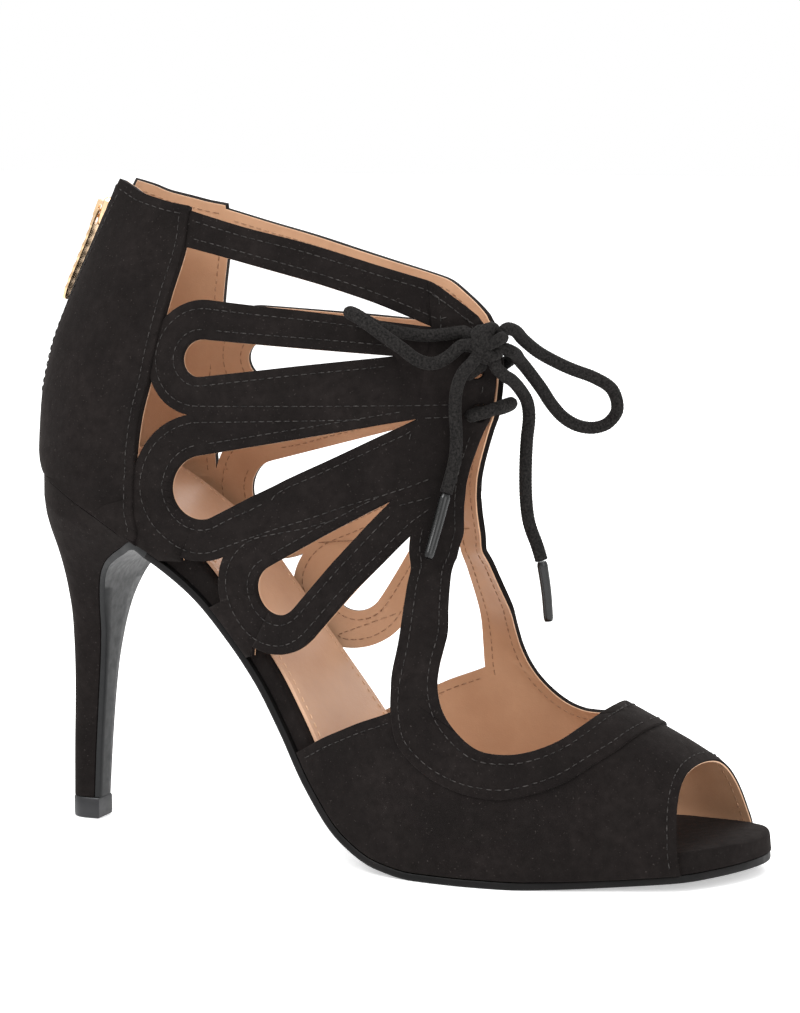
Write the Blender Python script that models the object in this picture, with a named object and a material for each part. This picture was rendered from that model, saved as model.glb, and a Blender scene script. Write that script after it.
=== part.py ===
"""Lace up heel: a peep toe sandal bootie with petal cut-outs and a stiletto heel, right foot.

Frame: +X to the toe, +Y to the inner side of the foot, +Z up, metres.
The origin is on the floor, under the middle of the heel tip.
"""
import math
from collections import namedtuple

import bmesh
import bpy
import numpy as np
from mathutils import Vector
from mathutils.geometry import delaunay_2d_cdt

# Driving dimensions
LENGTH = 0.211
BACK_X = -0.013
BALL_WIDTH = 0.072
HEEL_HEIGHT = 0.100
SHAFT_HEIGHT = 0.0845
TOE_SKEW = 0.18
MEDIAL_DROP = 0.007

# Walls, sheets and gaps
VAMP_WALL = 0.0012
BAND_WALL = 0.0020
COUNTER_WALL = 0.0028
GAP = 0.0003
OUTSOLE = 0.0020
FLAP = 0.0015
OUTSOLE_LIP = 0.0012
BOARD = 0.0040
TOE_PAD = 0.0018
TOE_INSET = 0.0008
HEEL_PAD = 0.0050
SOCK = 0.0008
SOCK_MARGIN = 0.0030
SOCK_END = 21.8
HEEL_LIP = 0.0022

# Petals, lacing, zip
PETAL_STRIP_TOP = 0.0103
LACE_HOLE = 0.0024
LACE = 0.0036
AGLET = 0.0030
KNOT = (0.0055, 0.0040, 0.0050)
ZIP_SLIT = 0.0060
ZIP_END = 3.9
TAPE_THICKNESS = 0.0007
TEETH_WIDTH = 0.0028
TEETH_HEIGHT = 0.0006
SLIDER_WIDTH = 0.0050
SLIDER_LENGTH = 0.0085
SLIDER_HEIGHT = 0.0018
BRIDGE_WIDTH = 0.0016
TAB_LENGTH = 0.0270
TAB_WIDTH = 0.0062
TAB_THICKNESS = 0.0012
TOP_LIFT_HEIGHT = 0.0060

# The last, a row for each section from the collar (0) over the seat (6) to the toe opening (24).
# Places along are shares of LENGTH, widths are shares of BALL_WIDTH. A height is
# lift * HEEL_HEIGHT + up * SHAFT_HEIGHT above the sole. sole is the half width at the sole edge and
# w06 to w94 are half widths at 6 to 94 hundredths of the way up the section.
Section = namedtuple("Section", "bottom_x bottom_lift bottom_up top_x top_lift top_up "
                                "sole w06 w18 w38 w60 w80 w94")
SECTIONS = [Section(*row) for row in (
    (0.135, 0.987, 0.988, 0.630, 0.350, 1.363, 0.000, 0.072, 0.124, 0.133, 0.094, 0.090, 0.058),
    (0.100, 0.987, 0.781, 0.641, 0.350, 1.227, 0.000, 0.108, 0.178, 0.192, 0.153, 0.125, 0.069),
    (0.062, 0.987, 0.574, 0.646, 0.350, 1.103, 0.000, 0.136, 0.225, 0.250, 0.219, 0.160, 0.078),
    (0.031, 0.987, 0.373, 0.642, 0.350, 0.991, 0.000, 0.165, 0.262, 0.292, 0.268, 0.183, 0.087),
    (0.018, 0.987, 0.201, 0.633, 0.350, 0.890, 0.000, 0.188, 0.290, 0.317, 0.299, 0.208, 0.097),
    (0.017, 0.987, 0.077, 0.625, 0.350, 0.807, 0.000, 0.212, 0.312, 0.333, 0.319, 0.229, 0.108),
    (0.024, 0.987, 0.000, 0.621, 0.350, 0.754, 0.000, 0.236, 0.326, 0.343, 0.333, 0.243, 0.114),
    (0.038, 0.977, 0.000, 0.620, 0.340, 0.730, 0.152, 0.262, 0.335, 0.347, 0.336, 0.250, 0.118),
    (0.071, 0.950, 0.000, 0.619, 0.330, 0.712, 0.267, 0.303, 0.342, 0.351, 0.340, 0.257, 0.125),
    (0.118, 0.900, 0.000, 0.619, 0.320, 0.689, 0.322, 0.333, 0.347, 0.354, 0.344, 0.264, 0.132),
    (0.175, 0.830, 0.000, 0.620, 0.310, 0.659, 0.333, 0.338, 0.347, 0.358, 0.347, 0.271, 0.139),
    (0.230, 0.762, 0.000, 0.623, 0.300, 0.630, 0.326, 0.333, 0.344, 0.361, 0.347, 0.271, 0.146),
    (0.282, 0.677, 0.000, 0.630, 0.280, 0.612, 0.319, 0.326, 0.340, 0.368, 0.354, 0.264, 0.132),
    (0.327, 0.572, 0.000, 0.639, 0.260, 0.588, 0.317, 0.331, 0.354, 0.389, 0.382, 0.299, 0.167),
    (0.367, 0.465, 0.000, 0.651, 0.220, 0.582, 0.326, 0.347, 0.375, 0.421, 0.417, 0.326, 0.181),
    (0.408, 0.337, 0.000, 0.666, 0.160, 0.594, 0.361, 0.379, 0.410, 0.451, 0.451, 0.354, 0.194),
    (0.450, 0.197, 0.000, 0.685, 0.100, 0.600, 0.407, 0.421, 0.444, 0.476, 0.479, 0.396, 0.215),
    (0.498, 0.077, 0.000, 0.707, 0.050, 0.594, 0.444, 0.456, 0.475, 0.500, 0.497, 0.424, 0.229),
    (0.550, 0.017, 0.000, 0.735, 0.020, 0.568, 0.472, 0.481, 0.497, 0.514, 0.504, 0.417, 0.236),
    (0.602, 0.000, 0.000, 0.764, 0.000, 0.530, 0.490, 0.497, 0.508, 0.514, 0.486, 0.382, 0.222),
    (0.664, 0.000, 0.000, 0.793, 0.000, 0.484, 0.500, 0.503, 0.506, 0.497, 0.451, 0.340, 0.201),
    (0.730, 0.000, 0.000, 0.822, 0.000, 0.449, 0.486, 0.490, 0.490, 0.462, 0.403, 0.306, 0.183),
    (0.796, 0.004, 0.000, 0.850, 0.000, 0.415, 0.442, 0.446, 0.444, 0.410, 0.354, 0.271, 0.167),
    (0.863, 0.011, 0.000, 0.881, 0.000, 0.378, 0.378, 0.382, 0.380, 0.352, 0.306, 0.233, 0.146),
    (0.941, 0.023, 0.000, 0.918, 0.000, 0.322, 0.294, 0.298, 0.298, 0.280, 0.250, 0.202, 0.132),
)]
WIDTH_LEVELS = (0.0, 0.06, 0.18, 0.38, 0.60, 0.80, 0.94, 1.0)
SEAT = 6
LAST_SECTION = len(SECTIONS) - 1

# The sole's toe beyond the opening: along, lift, half width and swing to the inner side
ToeRow = namedtuple("ToeRow", "along lift half swing")
TOE_ROWS = [ToeRow(*row) for row in (
    (0.963, 0.027, 0.236, 0.020),
    (0.980, 0.030, 0.162, 0.045),
    (0.990, 0.032, 0.083, 0.064),
    (0.993, 0.033, 0.008, 0.074),
)]
TOE_END = LAST_SECTION + len(TOE_ROWS)
SKEW_START = 19.0

# Seam lines of the pattern: station (section number) and share of the way up to the ridge
THROAT = ((0.30, 1.030), (0.65, 0.974), (0.90, 0.986), (1.30, 0.992), (2.00, 0.995), (3.20, 0.994),
          (3.65, 0.989), (5.10, 0.982), (8.00, 0.979), (10.10, 0.974), (12.18, 0.927),
          (14.07, 0.866), (15.03, 0.826), (15.68, 0.767), (16.09, 0.731), (16.63, 0.703),
          (17.32, 0.686), (18.07, 0.677), (18.87, 0.709), (19.50, 0.770), (19.99, 0.865),
          (20.24, 0.970), (20.30, 1.000), (20.32, 1.030))
BAND_EDGE = ((9.68, 0.870), (11.87, 0.813), (13.22, 0.753), (14.52, 0.671), (15.40, 0.582),
             (16.03, 0.513), (16.60, 0.474), (17.26, 0.473), (17.97, 0.477), (18.74, 0.486),
             (19.62, 0.504), (20.35, 0.564), (20.93, 0.646), (21.40, 0.772), (21.89, 0.918),
             (22.10, 1.000), (22.12, 1.030))
FACING_REAR = ((1.13, 0.872), (2.50, 0.845), (4.50, 0.845), (7.00, 0.850), (9.68, 0.870))
VAMP_REAR = ((15.90, 0.522), (15.63, 0.329), (15.49, 0.134), (15.45, 0.000), (15.45, -0.030))
STRAP_UPPER = ((0.27, 0.200), (0.26, 0.351), (0.21, 0.531), (0.18, 0.731), (0.15, 0.865),
               (0.35, 0.926), (0.65, 0.974))
STRAP_LOWER = ((0.84, 0.200), (0.82, 0.380), (0.84, 0.552), (0.90, 0.709), (1.03, 0.822),
               (1.13, 0.872))
COUNTER_TOP = ((0.20, -0.010), (0.20, 0.010), (0.22, 0.053), (0.26, 0.100), (0.25, 0.174),
               (0.21, 0.235))
COUNTER_FRONT = ((0.21, 0.235), (0.80, 0.259), (1.56, 0.271), (2.10, 0.281), (3.25, 0.299),
                 (4.51, 0.296), (5.23, 0.296), (6.00, 0.290), (7.00, 0.273), (8.00, 0.230),
                 (9.00, 0.157), (10.00, 0.056), (10.40, 0.000), (10.50, -0.030))
LACE_HOLES = ((1.95, 0.962), (3.10, 0.977))

# The petals: the round end's centre, the hole's radius, the outer radius and the hole's point
Petal = namedtuple("Petal", "station up hole_up radius outer point_station point_up drop point_drop "
                            "front_top front_bottom")
PETALS = [Petal(*row) for row in (
    (2.59, 0.395, 0.395, 0.0050, 0.0153, 1.93, 0.800, 0.5, 0.1, (1.13, 0.872), (3.30, 0.860)),
    (6.90, 0.430, 0.435, 0.0085, 0.0196, 3.40, 0.867, 0.9, 0.2, (3.10, 0.880), (7.00, 0.885)),
    (12.10, 0.315, 0.335, 0.0068, 0.0172, 7.53, 0.847, 1.0, 0.3, (6.80, 0.885), (9.68, 0.885)),
)]
FEET = (
    ((9.80, -0.030), (10.95, -0.030), (10.98, 0.085), (9.40, 0.300), (8.00, 0.300)),
    ((12.40, -0.030), (13.55, -0.030), (13.55, 0.040), (12.60, 0.250), (12.10, 0.250)),
)

# The heel, from under the seat down to the tip: its flat front and round back in side view, as
# shares along and lifts, and its half width. The front corner of its top is at HEEL_CORNER.
HEEL_CORNER = 10.2
HeelRow = namedtuple("HeelRow", "front front_lift back back_lift half")
HEEL = [HeelRow(*row) for row in (
    (0.1626, 0.788, 0.0195, 0.932, 0.3236),
    (0.1436, 0.764, 0.0199, 0.892, 0.2889),
    (0.1270, 0.735, 0.0237, 0.842, 0.2500),
    (0.1142, 0.696, 0.0310, 0.782, 0.2083),
    (0.1062, 0.651, 0.0365, 0.722, 0.1708),
    (0.1000, 0.597, 0.0405, 0.652, 0.1333),
    (0.0948, 0.517, 0.0440, 0.547, 0.0944),
    (0.0886, 0.407, 0.0445, 0.412, 0.0708),
    (0.0839, 0.297, 0.0435, 0.297, 0.0639),
    (0.0796, 0.177, 0.0418, 0.177, 0.0604),
    (0.0758, 0.040, 0.0408, 0.040, 0.0569),
)]
FRONT_SHARE = 0.94
D_SHAPE = ((0.00, 0.0), (0.03, 0.34), (0.10, 0.60), (0.22, 0.82), (0.36, 0.95), (0.52, 1.00),
           (0.72, 1.00), (0.88, 0.98), (1.00, FRONT_SHARE))

# Colours: base colour, roughness, metallic
FINISHES = {
    "suede_black": ((0.016, 0.015, 0.015), 0.92, 0.0),
    "leather_tan": ((0.62, 0.38, 0.24), 0.55, 0.0),
    "outsole_black": ((0.02, 0.02, 0.022), 0.35, 0.0),
    "plastic_black": ((0.03, 0.03, 0.032), 0.30, 0.0),
    "tape_black": ((0.02, 0.02, 0.02), 0.85, 0.0),
    "metal_gold": ((0.80, 0.58, 0.28), 0.25, 1.0),
    "cord_black": ((0.02, 0.02, 0.021), 0.90, 0.0),
    "aglet_black": ((0.03, 0.03, 0.032), 0.20, 0.0),
}


def slopes(x, y):
    """Slopes that keep a curve through the rows free of overshoot."""
    step = np.diff(x)[:, None]
    chord = np.diff(y, axis=0) / step
    m = np.zeros_like(y)
    a, b = chord[:-1], chord[1:]
    both = a * b > 0
    total = np.where(both, a + b, 1.0)
    m[1:-1] = np.where(both, 2 * a * b / total, 0.0)
    m[0] = chord[0]
    m[-1] = chord[-1]
    return m


class Curve:
    """A smooth curve through rows of values."""

    def __init__(self, x, y):
        self.x = np.asarray(x, float)
        y = np.asarray(y, float)
        self.single = y.ndim == 1
        self.y = y[:, None] if self.single else y
        self.m = slopes(self.x, self.y)

    def __call__(self, t):
        t = min(max(t, self.x[0]), self.x[-1])
        i = min(int(np.searchsorted(self.x, t, side="right")) - 1, len(self.x) - 2)
        h = self.x[i + 1] - self.x[i]
        r = (t - self.x[i]) / h
        out = ((2 * r**3 - 3 * r**2 + 1) * self.y[i] + (r**3 - 2 * r**2 + r) * h * self.m[i]
               + (3 * r**2 - 2 * r**3) * self.y[i + 1] + (r**3 - r**2) * h * self.m[i + 1])
        return float(out[0]) if self.single else out


def place_x(share):
    return BACK_X + share * LENGTH


def place_z(lift, up=0.0):
    return OUTSOLE + GAP + lift * HEEL_HEIGHT + up * SHAFT_HEIGHT


def section_values(row):
    squares = [(w * BALL_WIDTH) ** 2 for w in row[6:]]
    return [place_x(row.bottom_x), place_z(row.bottom_lift, row.bottom_up),
            place_x(row.top_x), place_z(row.top_lift, row.top_up)] + squares


LAST = Curve(range(len(SECTIONS)), [section_values(row) for row in SECTIONS])


def half_width(values, up):
    """Half width at a share of the way up a section, with round ends where it closes."""
    return math.sqrt(max(Curve(WIDTH_LEVELS, np.append(values[4:], 0.0))(up), 0.0))


def skew(station):
    return TOE_SKEW * min(max((station - SKEW_START) / (LAST_SECTION - SKEW_START), 0.0), 1.0)


def last_point(station, up, side):
    """A point of the last's surface; side is -1 for the outer and +1 for the inner side."""
    v = LAST(station)
    y = side * half_width(v, up)
    x = v[0] + (v[2] - v[0]) * up + skew(station) * y
    return np.array((x, y, v[1] + (v[3] - v[1]) * up))


def sole_normal(station):
    """The direction from the sole up into the shoe, in the XZ plane."""
    a = sole_line(station - 0.2)
    b = sole_line(station + 0.2)
    d = (b - a) / np.linalg.norm(b - a)
    return np.array((-d[1], d[0]))


def surface_normal(station, up, side):
    """The outward normal, flat against the sole at the sole edge and straight at the seams."""
    e_up, e_st = 1e-3, 0.02
    u0, u1 = max(up - e_up, 1e-5), min(up + e_up, 1 - 1e-5)
    s0, s1 = max(station - e_st, 0.0), min(station + e_st, LAST_SECTION)
    mid = min(max(up, 1e-5), 1 - 1e-5)
    along = last_point(s1, mid, side) - last_point(s0, mid, side)
    across = last_point(station, u1, side) - last_point(station, u0, side)
    n = np.cross(across, along)
    n /= np.linalg.norm(n)
    if n[1] * side < 0:
        n = -n
    if (up < 1e-6 and station <= SEAT) or up > 1 - 1e-6:
        end = round(up)
        d = side_place(s1, end) - side_place(s0, end)
        n = np.array((-d[1], 0.0, d[0])) / np.linalg.norm(d)
        reach = side_place(station, end) - side_place(station, 1 - end)
        if n[0] * reach[0] + n[2] * reach[1] < 0:
            n = -n
    flat = min(max((station - SEAT + 0.6) / 0.6, 0.0), 1.0) * min(max(1 - up / 0.06, 0.0), 1.0)
    if flat > 0:
        m = sole_normal(station)
        m = np.array((m[0], 0.0, m[1]))
        n = n - flat * np.dot(n, m) * m
        n /= np.linalg.norm(n)
    return n


def girth(up):
    """Share of the way up as an angle round the section, which stays even at round ends."""
    if up < 0:
        return -2 * math.sqrt(-up)
    if up > 1:
        return math.pi + 2 * math.sqrt(up - 1)
    return math.acos(1 - 2 * up)


def share_up(angle):
    return (1 - math.cos(min(max(angle, 0.0), math.pi))) / 2


def side_place(station, up):
    """Side view of a place on the last."""
    v = LAST(station)
    return np.array((v[0] + (v[2] - v[0]) * up, v[1] + (v[3] - v[1]) * up))


def locate(x, z):
    """Station and share up of a point in side view."""
    def above(station):
        v = LAST(station)
        return (v[2] - v[0]) * (z - v[1]) - (v[3] - v[1]) * (x - v[0])

    stations = np.linspace(0, LAST_SECTION, 97)
    signs = [above(s) for s in stations]
    k = next((i for i in range(96) if signs[i] * signs[i + 1] <= 0), None)
    if k is None:
        k = 0 if abs(signs[0]) < abs(signs[-1]) else 95
    low, high = stations[k], stations[k + 1]
    value = signs[k]
    for _ in range(24):
        mid = (low + high) / 2
        here = above(mid)
        if value * here <= 0:
            high = mid
        else:
            low, value = mid, here
    v = LAST((low + high) / 2)
    d = v[2:4] - v[0:2]
    return (low + high) / 2, float(((x - v[0]) * d[0] + (z - v[1]) * d[1]) / d.dot(d))


# The sole's plan: a line along it and an outline that can be inset

SOLE_LINE = Curve(range(SEAT, TOE_END + 1),
                  [(place_x(r.bottom_x), place_z(r.bottom_lift)) for r in SECTIONS[SEAT:]]
                  + [(place_x(r.along), place_z(r.lift)) for r in TOE_ROWS])
SOLE_HALF = Curve(range(SEAT, TOE_END + 1),
                  [(r.sole * BALL_WIDTH) ** 2 for r in SECTIONS[SEAT:]]
                  + [(r.half * BALL_WIDTH) ** 2 for r in TOE_ROWS])
SOLE_SWING = Curve((SEAT, LAST_SECTION) + tuple(range(LAST_SECTION + 1, TOE_END + 1)),
                   [0.0, 0.0] + [r.swing * BALL_WIDTH for r in TOE_ROWS])


def sole_line(station):
    if station < SEAT:
        d = (SOLE_LINE(SEAT + 0.4) - SOLE_LINE(SEAT)) / 0.4
        return SOLE_LINE(SEAT) + d * (station - SEAT)
    if station > TOE_END:
        d = (SOLE_LINE(TOE_END) - SOLE_LINE(TOE_END - 0.4)) / 0.4
        return SOLE_LINE(TOE_END) + d * (station - TOE_END)
    return SOLE_LINE(station)


def sole_point(station, y, depth):
    """A point on the sole's line, y to the side and depth above it."""
    p = sole_line(station) + depth * sole_normal(station)
    y = y + SOLE_SWING(station)
    return np.array((p[0] + skew(station) * y, y, p[1]))


PLAN_STATIONS = np.concatenate([np.linspace(SEAT, SEAT + 1, 9)**1.0,
                                np.linspace(SEAT + 1.25, LAST_SECTION, 72),
                                np.linspace(LAST_SECTION + 0.2, TOE_END, 20)])


def plan():
    """Distance along the sole and half width, for each plan station."""
    points = [sole_line(s) for s in PLAN_STATIONS]
    q = np.concatenate([[0.0], np.cumsum([np.linalg.norm(b - a)
                                          for a, b in zip(points, points[1:])])])
    w = np.array([math.sqrt(max(SOLE_HALF(s), 0.0)) for s in PLAN_STATIONS])
    return q, w


def inset_plan(inset):
    """The plan's outline moved inward: stations and half widths from heel to toe."""
    q, w = plan()
    dq = np.gradient(q)
    dw = np.gradient(w)
    dw[0], dq[0] = 1.0, 0.0
    dw[-1], dq[-1] = -1.0, 0.0
    length = np.hypot(dq, dw)
    q_in = q + inset * dw / length
    w_in = w - inset * dq / length
    w_in[0] = 0.0
    stations = np.interp(q_in, q, PLAN_STATIONS)
    over = q_in > q[-1]
    stations = np.where(over, TOE_END + (q_in - q[-1]) / (q[-1] - q[-2])
                        * (PLAN_STATIONS[-1] - PLAN_STATIONS[-2]), stations)
    under = q_in < 0
    stations = np.where(under, SEAT + q_in / (q[1] - q[0])
                        * (PLAN_STATIONS[1] - PLAN_STATIONS[0]), stations)
    keep = [i for i in range(len(w_in)) if w_in[i] >= 0]
    stations = stations[keep]
    w_in = w_in[keep]
    rising = [0]
    for i in range(1, len(stations)):
        if stations[i] > stations[rising[-1]] + 1e-4:
            rising.append(i)
    return stations[rising], w_in[rising]


def half_at(station, outline):
    return float(np.interp(station, outline[0], outline[1]))


# Mesh helpers

def finish(name, verts, faces, material, smooth_angle=35):
    """An object with outward faces, joined from points and faces."""
    mesh = bpy.data.meshes.new(name)
    bm = bmesh.new()
    made = [bm.verts.new(Vector([float(c) for c in v])) for v in verts]
    for face in faces:
        corners = []
        for i in face:
            if not corners or corners[-1] is not made[i]:
                corners.append(made[i])
        if len(set(corners)) >= 3:
            bm.faces.new(corners)
    bmesh.ops.remove_doubles(bm, verts=bm.verts, dist=2e-6)
    loose = [v for v in bm.verts if not v.link_faces]
    bmesh.ops.delete(bm, geom=loose, context="VERTS")
    bmesh.ops.recalc_face_normals(bm, faces=bm.faces)
    bm.to_mesh(mesh)
    bm.free()
    mesh.shade_smooth()
    mesh.set_sharp_from_angle(angle=math.radians(smooth_angle))
    mesh.materials.append(material)
    obj = bpy.data.objects.new(name, mesh)
    bpy.context.collection.objects.link(obj)
    return obj


def loft(name, rings, material, smooth_angle=35):
    """A closed solid through rings of equal length, with flat caps."""
    size = len(rings[0])
    verts = [p for ring in rings for p in ring]
    faces = []
    for r in range(len(rings) - 1):
        for k in range(size):
            a = r * size + k
            b = r * size + (k + 1) % size
            faces.append((a, b, b + size, a + size))
    faces.append(tuple(range(size)))
    faces.append(tuple((len(rings) - 1) * size + k for k in range(size)))
    return finish(name, verts, faces, material, smooth_angle)


def material(name):
    colour, roughness, metallic = FINISHES[name]
    mat = bpy.data.materials.new(name)
    mat.use_nodes = True
    shader = mat.node_tree.nodes["Principled BSDF"]
    shader.inputs["Base Color"].default_value = (*colour, 1.0)
    shader.inputs["Roughness"].default_value = roughness
    shader.inputs["Metallic"].default_value = metallic
    mat.diffuse_color = (*colour, 1.0)
    return mat


# The upper's pattern

STATION_SCALE = 1.0
GIRTH_SCALE = 4.1
GRID_STATION = 0.55
GRID_GIRTH = math.pi / 15
CLEAR = 0.24


def flat(station, up):
    """Pattern coordinates of a place on the last."""
    return (station * STATION_SCALE, girth(up) * GIRTH_SCALE)


def smooth_line(rows, parts=3):
    """Pattern points along a smooth curve through rows of station and share up."""
    points = np.array([flat(s, u) for s, u in rows])
    length = np.concatenate([[0.0], np.cumsum(np.linalg.norm(np.diff(points, axis=0), axis=1))])
    curve = Curve(length, points)
    out = []
    for a, b in zip(length, length[1:]):
        n = max(1, min(parts, round((b - a) / 0.35)))
        out += [tuple(curve(a + (b - a) * k / n)) for k in range(n)]
    out.append(tuple(points[-1]))
    return out


def from_side_view(points):
    return [flat(*locate(x, z)) for x, z in points]


def arc_to_line(centre, radius, start, end, steps):
    """Points on a circle from one direction to another, turning by the rear."""
    return [centre + radius * np.array((math.cos(a), math.sin(a)))
            for a in np.linspace(start, end, steps)]


def tangent_angles(centre, radius, target):
    """Directions from the centre to the two points where lines from a target touch a circle."""
    d = target - centre
    reach = np.linalg.norm(d)
    heading = math.atan2(d[1], d[0])
    open_angle = math.acos(min(radius / reach, 1.0))
    return heading + open_angle, heading - open_angle


def petal_places(petal, side):
    drop = MEDIAL_DROP if side > 0 else 0.0
    outer = side_place(petal.station, petal.up) - np.array((0.0, petal.drop * drop))
    hole = side_place(petal.station, petal.hole_up) - np.array((0.0, petal.drop * drop))
    point = side_place(petal.point_station, petal.point_up)
    point = point - np.array((0.0, petal.point_drop * drop))
    return outer, hole, point


def petal_outline(petal, side):
    """The petal's outer shape: a round rear end and two edges to the facing."""
    centre, _, _ = petal_places(petal, side)
    top = side_place(*petal.front_top)
    bottom = side_place(*petal.front_bottom)
    start = tangent_angles(centre, petal.outer, top)[0]
    end = tangent_angles(centre, petal.outer, bottom)[1] + 2 * math.pi
    arc = arc_to_line(centre, petal.outer, start, end, 16)
    edge = [bottom + (arc[-1] - bottom) * t for t in (0.66, 0.33, 0.0)]
    back = [top + (arc[0] - top) * t for t in (0.0, 0.33, 0.66)]
    return from_side_view(arc + edge + back)


def petal_hole(petal, side):
    """The petal's opening: a drop with a round rear end and a point near the facing."""
    _, centre, point = petal_places(petal, side)
    start, end = tangent_angles(centre, petal.radius, point)
    arc = arc_to_line(centre, petal.radius, start, end + 2 * math.pi, 12)
    lower = [point + (arc[-1] - point) * t for t in (0.75, 0.5, 0.25, 0.0)]
    upper = [point + (arc[0] - point) * t for t in (0.25, 0.5, 0.75)]
    return from_side_view(arc + lower + upper)


def lace_hole(place):
    """A round hole, drawn on the surface about its centre."""
    station, up = place
    centre = last_point(station, up, 1)
    along = (last_point(station + 0.1, up, 1) - centre) / 0.1
    across = (last_point(station, share_up(girth(up) - 0.05), 1) - centre) / 0.05
    out = []
    for k in range(8):
        a = 2 * math.pi * k / 8
        dx, dy = LACE_HOLE * math.cos(a), LACE_HOLE * math.sin(a)
        out.append((station * STATION_SCALE + dx / np.linalg.norm(along),
                    (girth(up) - dy / np.linalg.norm(across)) * GIRTH_SCALE))
    return out


def slit_outline():
    """The zip's slit down the back of the counter."""
    rows = []
    for station in np.linspace(0.0, ZIP_END, 9):
        v = LAST(station)
        low, high = 0.0, 0.3
        for _ in range(30):
            mid = (low + high) / 2
            low, high = (mid, high) if half_width(v, mid) < ZIP_SLIT / 2 else (low, mid)
        rows.append((station, low))
    return ([flat(-0.3, -0.02), flat(-0.3, rows[0][1])] + [flat(s, u) for s, u in rows]
            + [flat(ZIP_END, -0.02)])


def regions(side):
    """Outlines that hold material, by wall, and outlines that are cut away."""
    beyond = [flat(s, 1.03) for s in (16.0, 10.0, 4.0, 0.65)]
    counter = (smooth_line(COUNTER_TOP) + smooth_line(COUNTER_FRONT)[1:]
               + [flat(SEAT, -0.03), flat(3.0, -0.02)])
    band = ([flat(0.15, 0.865)] + smooth_line(FACING_REAR) + smooth_line(BAND_EDGE)[1:] + beyond
            + smooth_line(STRAP_UPPER[4:])[:0:-1])
    strap = (smooth_line(STRAP_UPPER)[:-1] + [flat(0.65, 0.974), flat(1.13, 0.890)]
             + smooth_line(STRAP_LOWER)[::-1])
    vamp = (smooth_line(VAMP_REAR[::-1]) + [flat(15.9, 0.62), flat(19.0, 0.75)]
            + [flat(21.5, 1.03), flat(LAST_SECTION + 0.3, 1.03),
               flat(LAST_SECTION + 0.3, -0.03)])
    solids = [("counter", counter), ("band", band), ("band", strap), ("vamp", vamp)]
    solids += [("band", petal_outline(p, side)) for p in PETALS]
    solids += [("band", [flat(s, u) for s, u in foot]) for foot in FEET]
    cuts = [petal_hole(p, side) for p in PETALS]
    cuts += [lace_hole(place) for place in LACE_HOLES]
    throat = smooth_line(THROAT)
    cuts.append(throat + [flat(12.0, 1.03), flat(4.0, 1.03)])
    cuts.append(slit_outline())
    return solids, cuts


def domain_outline():
    """The last's whole side, from the sole edge to the ridge."""
    stations = np.arange(0.0, LAST_SECTION + 0.01, 0.5)
    sole = sorted(set(stations) | {SEAT + k for k in (0.08, 0.2, 0.35, 0.75, 1.25)})
    up = np.linspace(0, 1, 13)
    toe = [flat(LAST_SECTION, share_up(math.pi * u)) for u in up[1:-1]]
    return [flat(s, 0.0) for s in sole] + toe + [flat(s, 1.0) for s in stations[::-1]]


def turned(outline):
    """The outline, running anticlockwise."""
    ring = np.array(outline)
    after = np.roll(ring, -1, axis=0)
    area = float((ring[:, 0] * after[:, 1] - after[:, 0] * ring[:, 1]).sum())
    return list(outline) if area > 0 else list(outline)[::-1]


def distance_to_edges(point, starts, ends):
    d = ends - starts
    t = np.clip(((point - starts) * d).sum(1) / np.maximum((d * d).sum(1), 1e-12), 0, 1)
    return np.sqrt((((starts + d * t[:, None]) - point) ** 2).sum(1).min())


WALLS = {"vamp": (0, VAMP_WALL), "band": (1, BAND_WALL), "counter": (2, COUNTER_WALL)}


def pattern_mesh(side):
    """Triangles of one side of the pattern, each with its wall's level."""
    solids, cuts = regions(side)
    outlines = [turned(o) for o in [domain_outline()] + [o for _, o in solids] + cuts]
    points, faces = [], []
    for outline in outlines:
        faces.append(list(range(len(points), len(points) + len(outline))))
        points += outline
    starts, ends = [], []
    for outline in outlines:
        ring = np.array(outline)
        starts.append(ring)
        ends.append(np.roll(ring, -1, axis=0))
    starts, ends = np.vstack(starts), np.vstack(ends)
    for i, station in enumerate(np.arange(0.25, LAST_SECTION, GRID_STATION)):
        shift = 0.5 if i % 2 else 1.0
        girths = [(k + shift) * GRID_GIRTH for k in range(round(math.pi / GRID_GIRTH))]
        if station < SEAT + 3:
            girths = [g for g in girths if g > 0.8] + [(k + shift) * 0.115 for k in range(7)]
        for angle in girths:
            p = np.array((station * STATION_SCALE, angle * GIRTH_SCALE))
            if angle < math.pi - 0.01 and distance_to_edges(p, starts, ends) > CLEAR:
                points.append(tuple(p))
    verts, _, triangles, _, _, origins = delaunay_2d_cdt(
        [Vector(p) for p in points], [], faces, 0, 1e-5, True)
    kept = []
    for triangle, origin in zip(triangles, origins):
        inside = set(origin)
        if 0 not in inside:
            continue
        if any(1 + len(solids) + k in inside for k in range(len(cuts))):
            continue
        levels = [WALLS[kind][0] for k, (kind, _) in enumerate(solids) if 1 + k in inside]
        if levels:
            kept.append((tuple(triangle), max(levels)))
    return verts, kept


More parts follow.
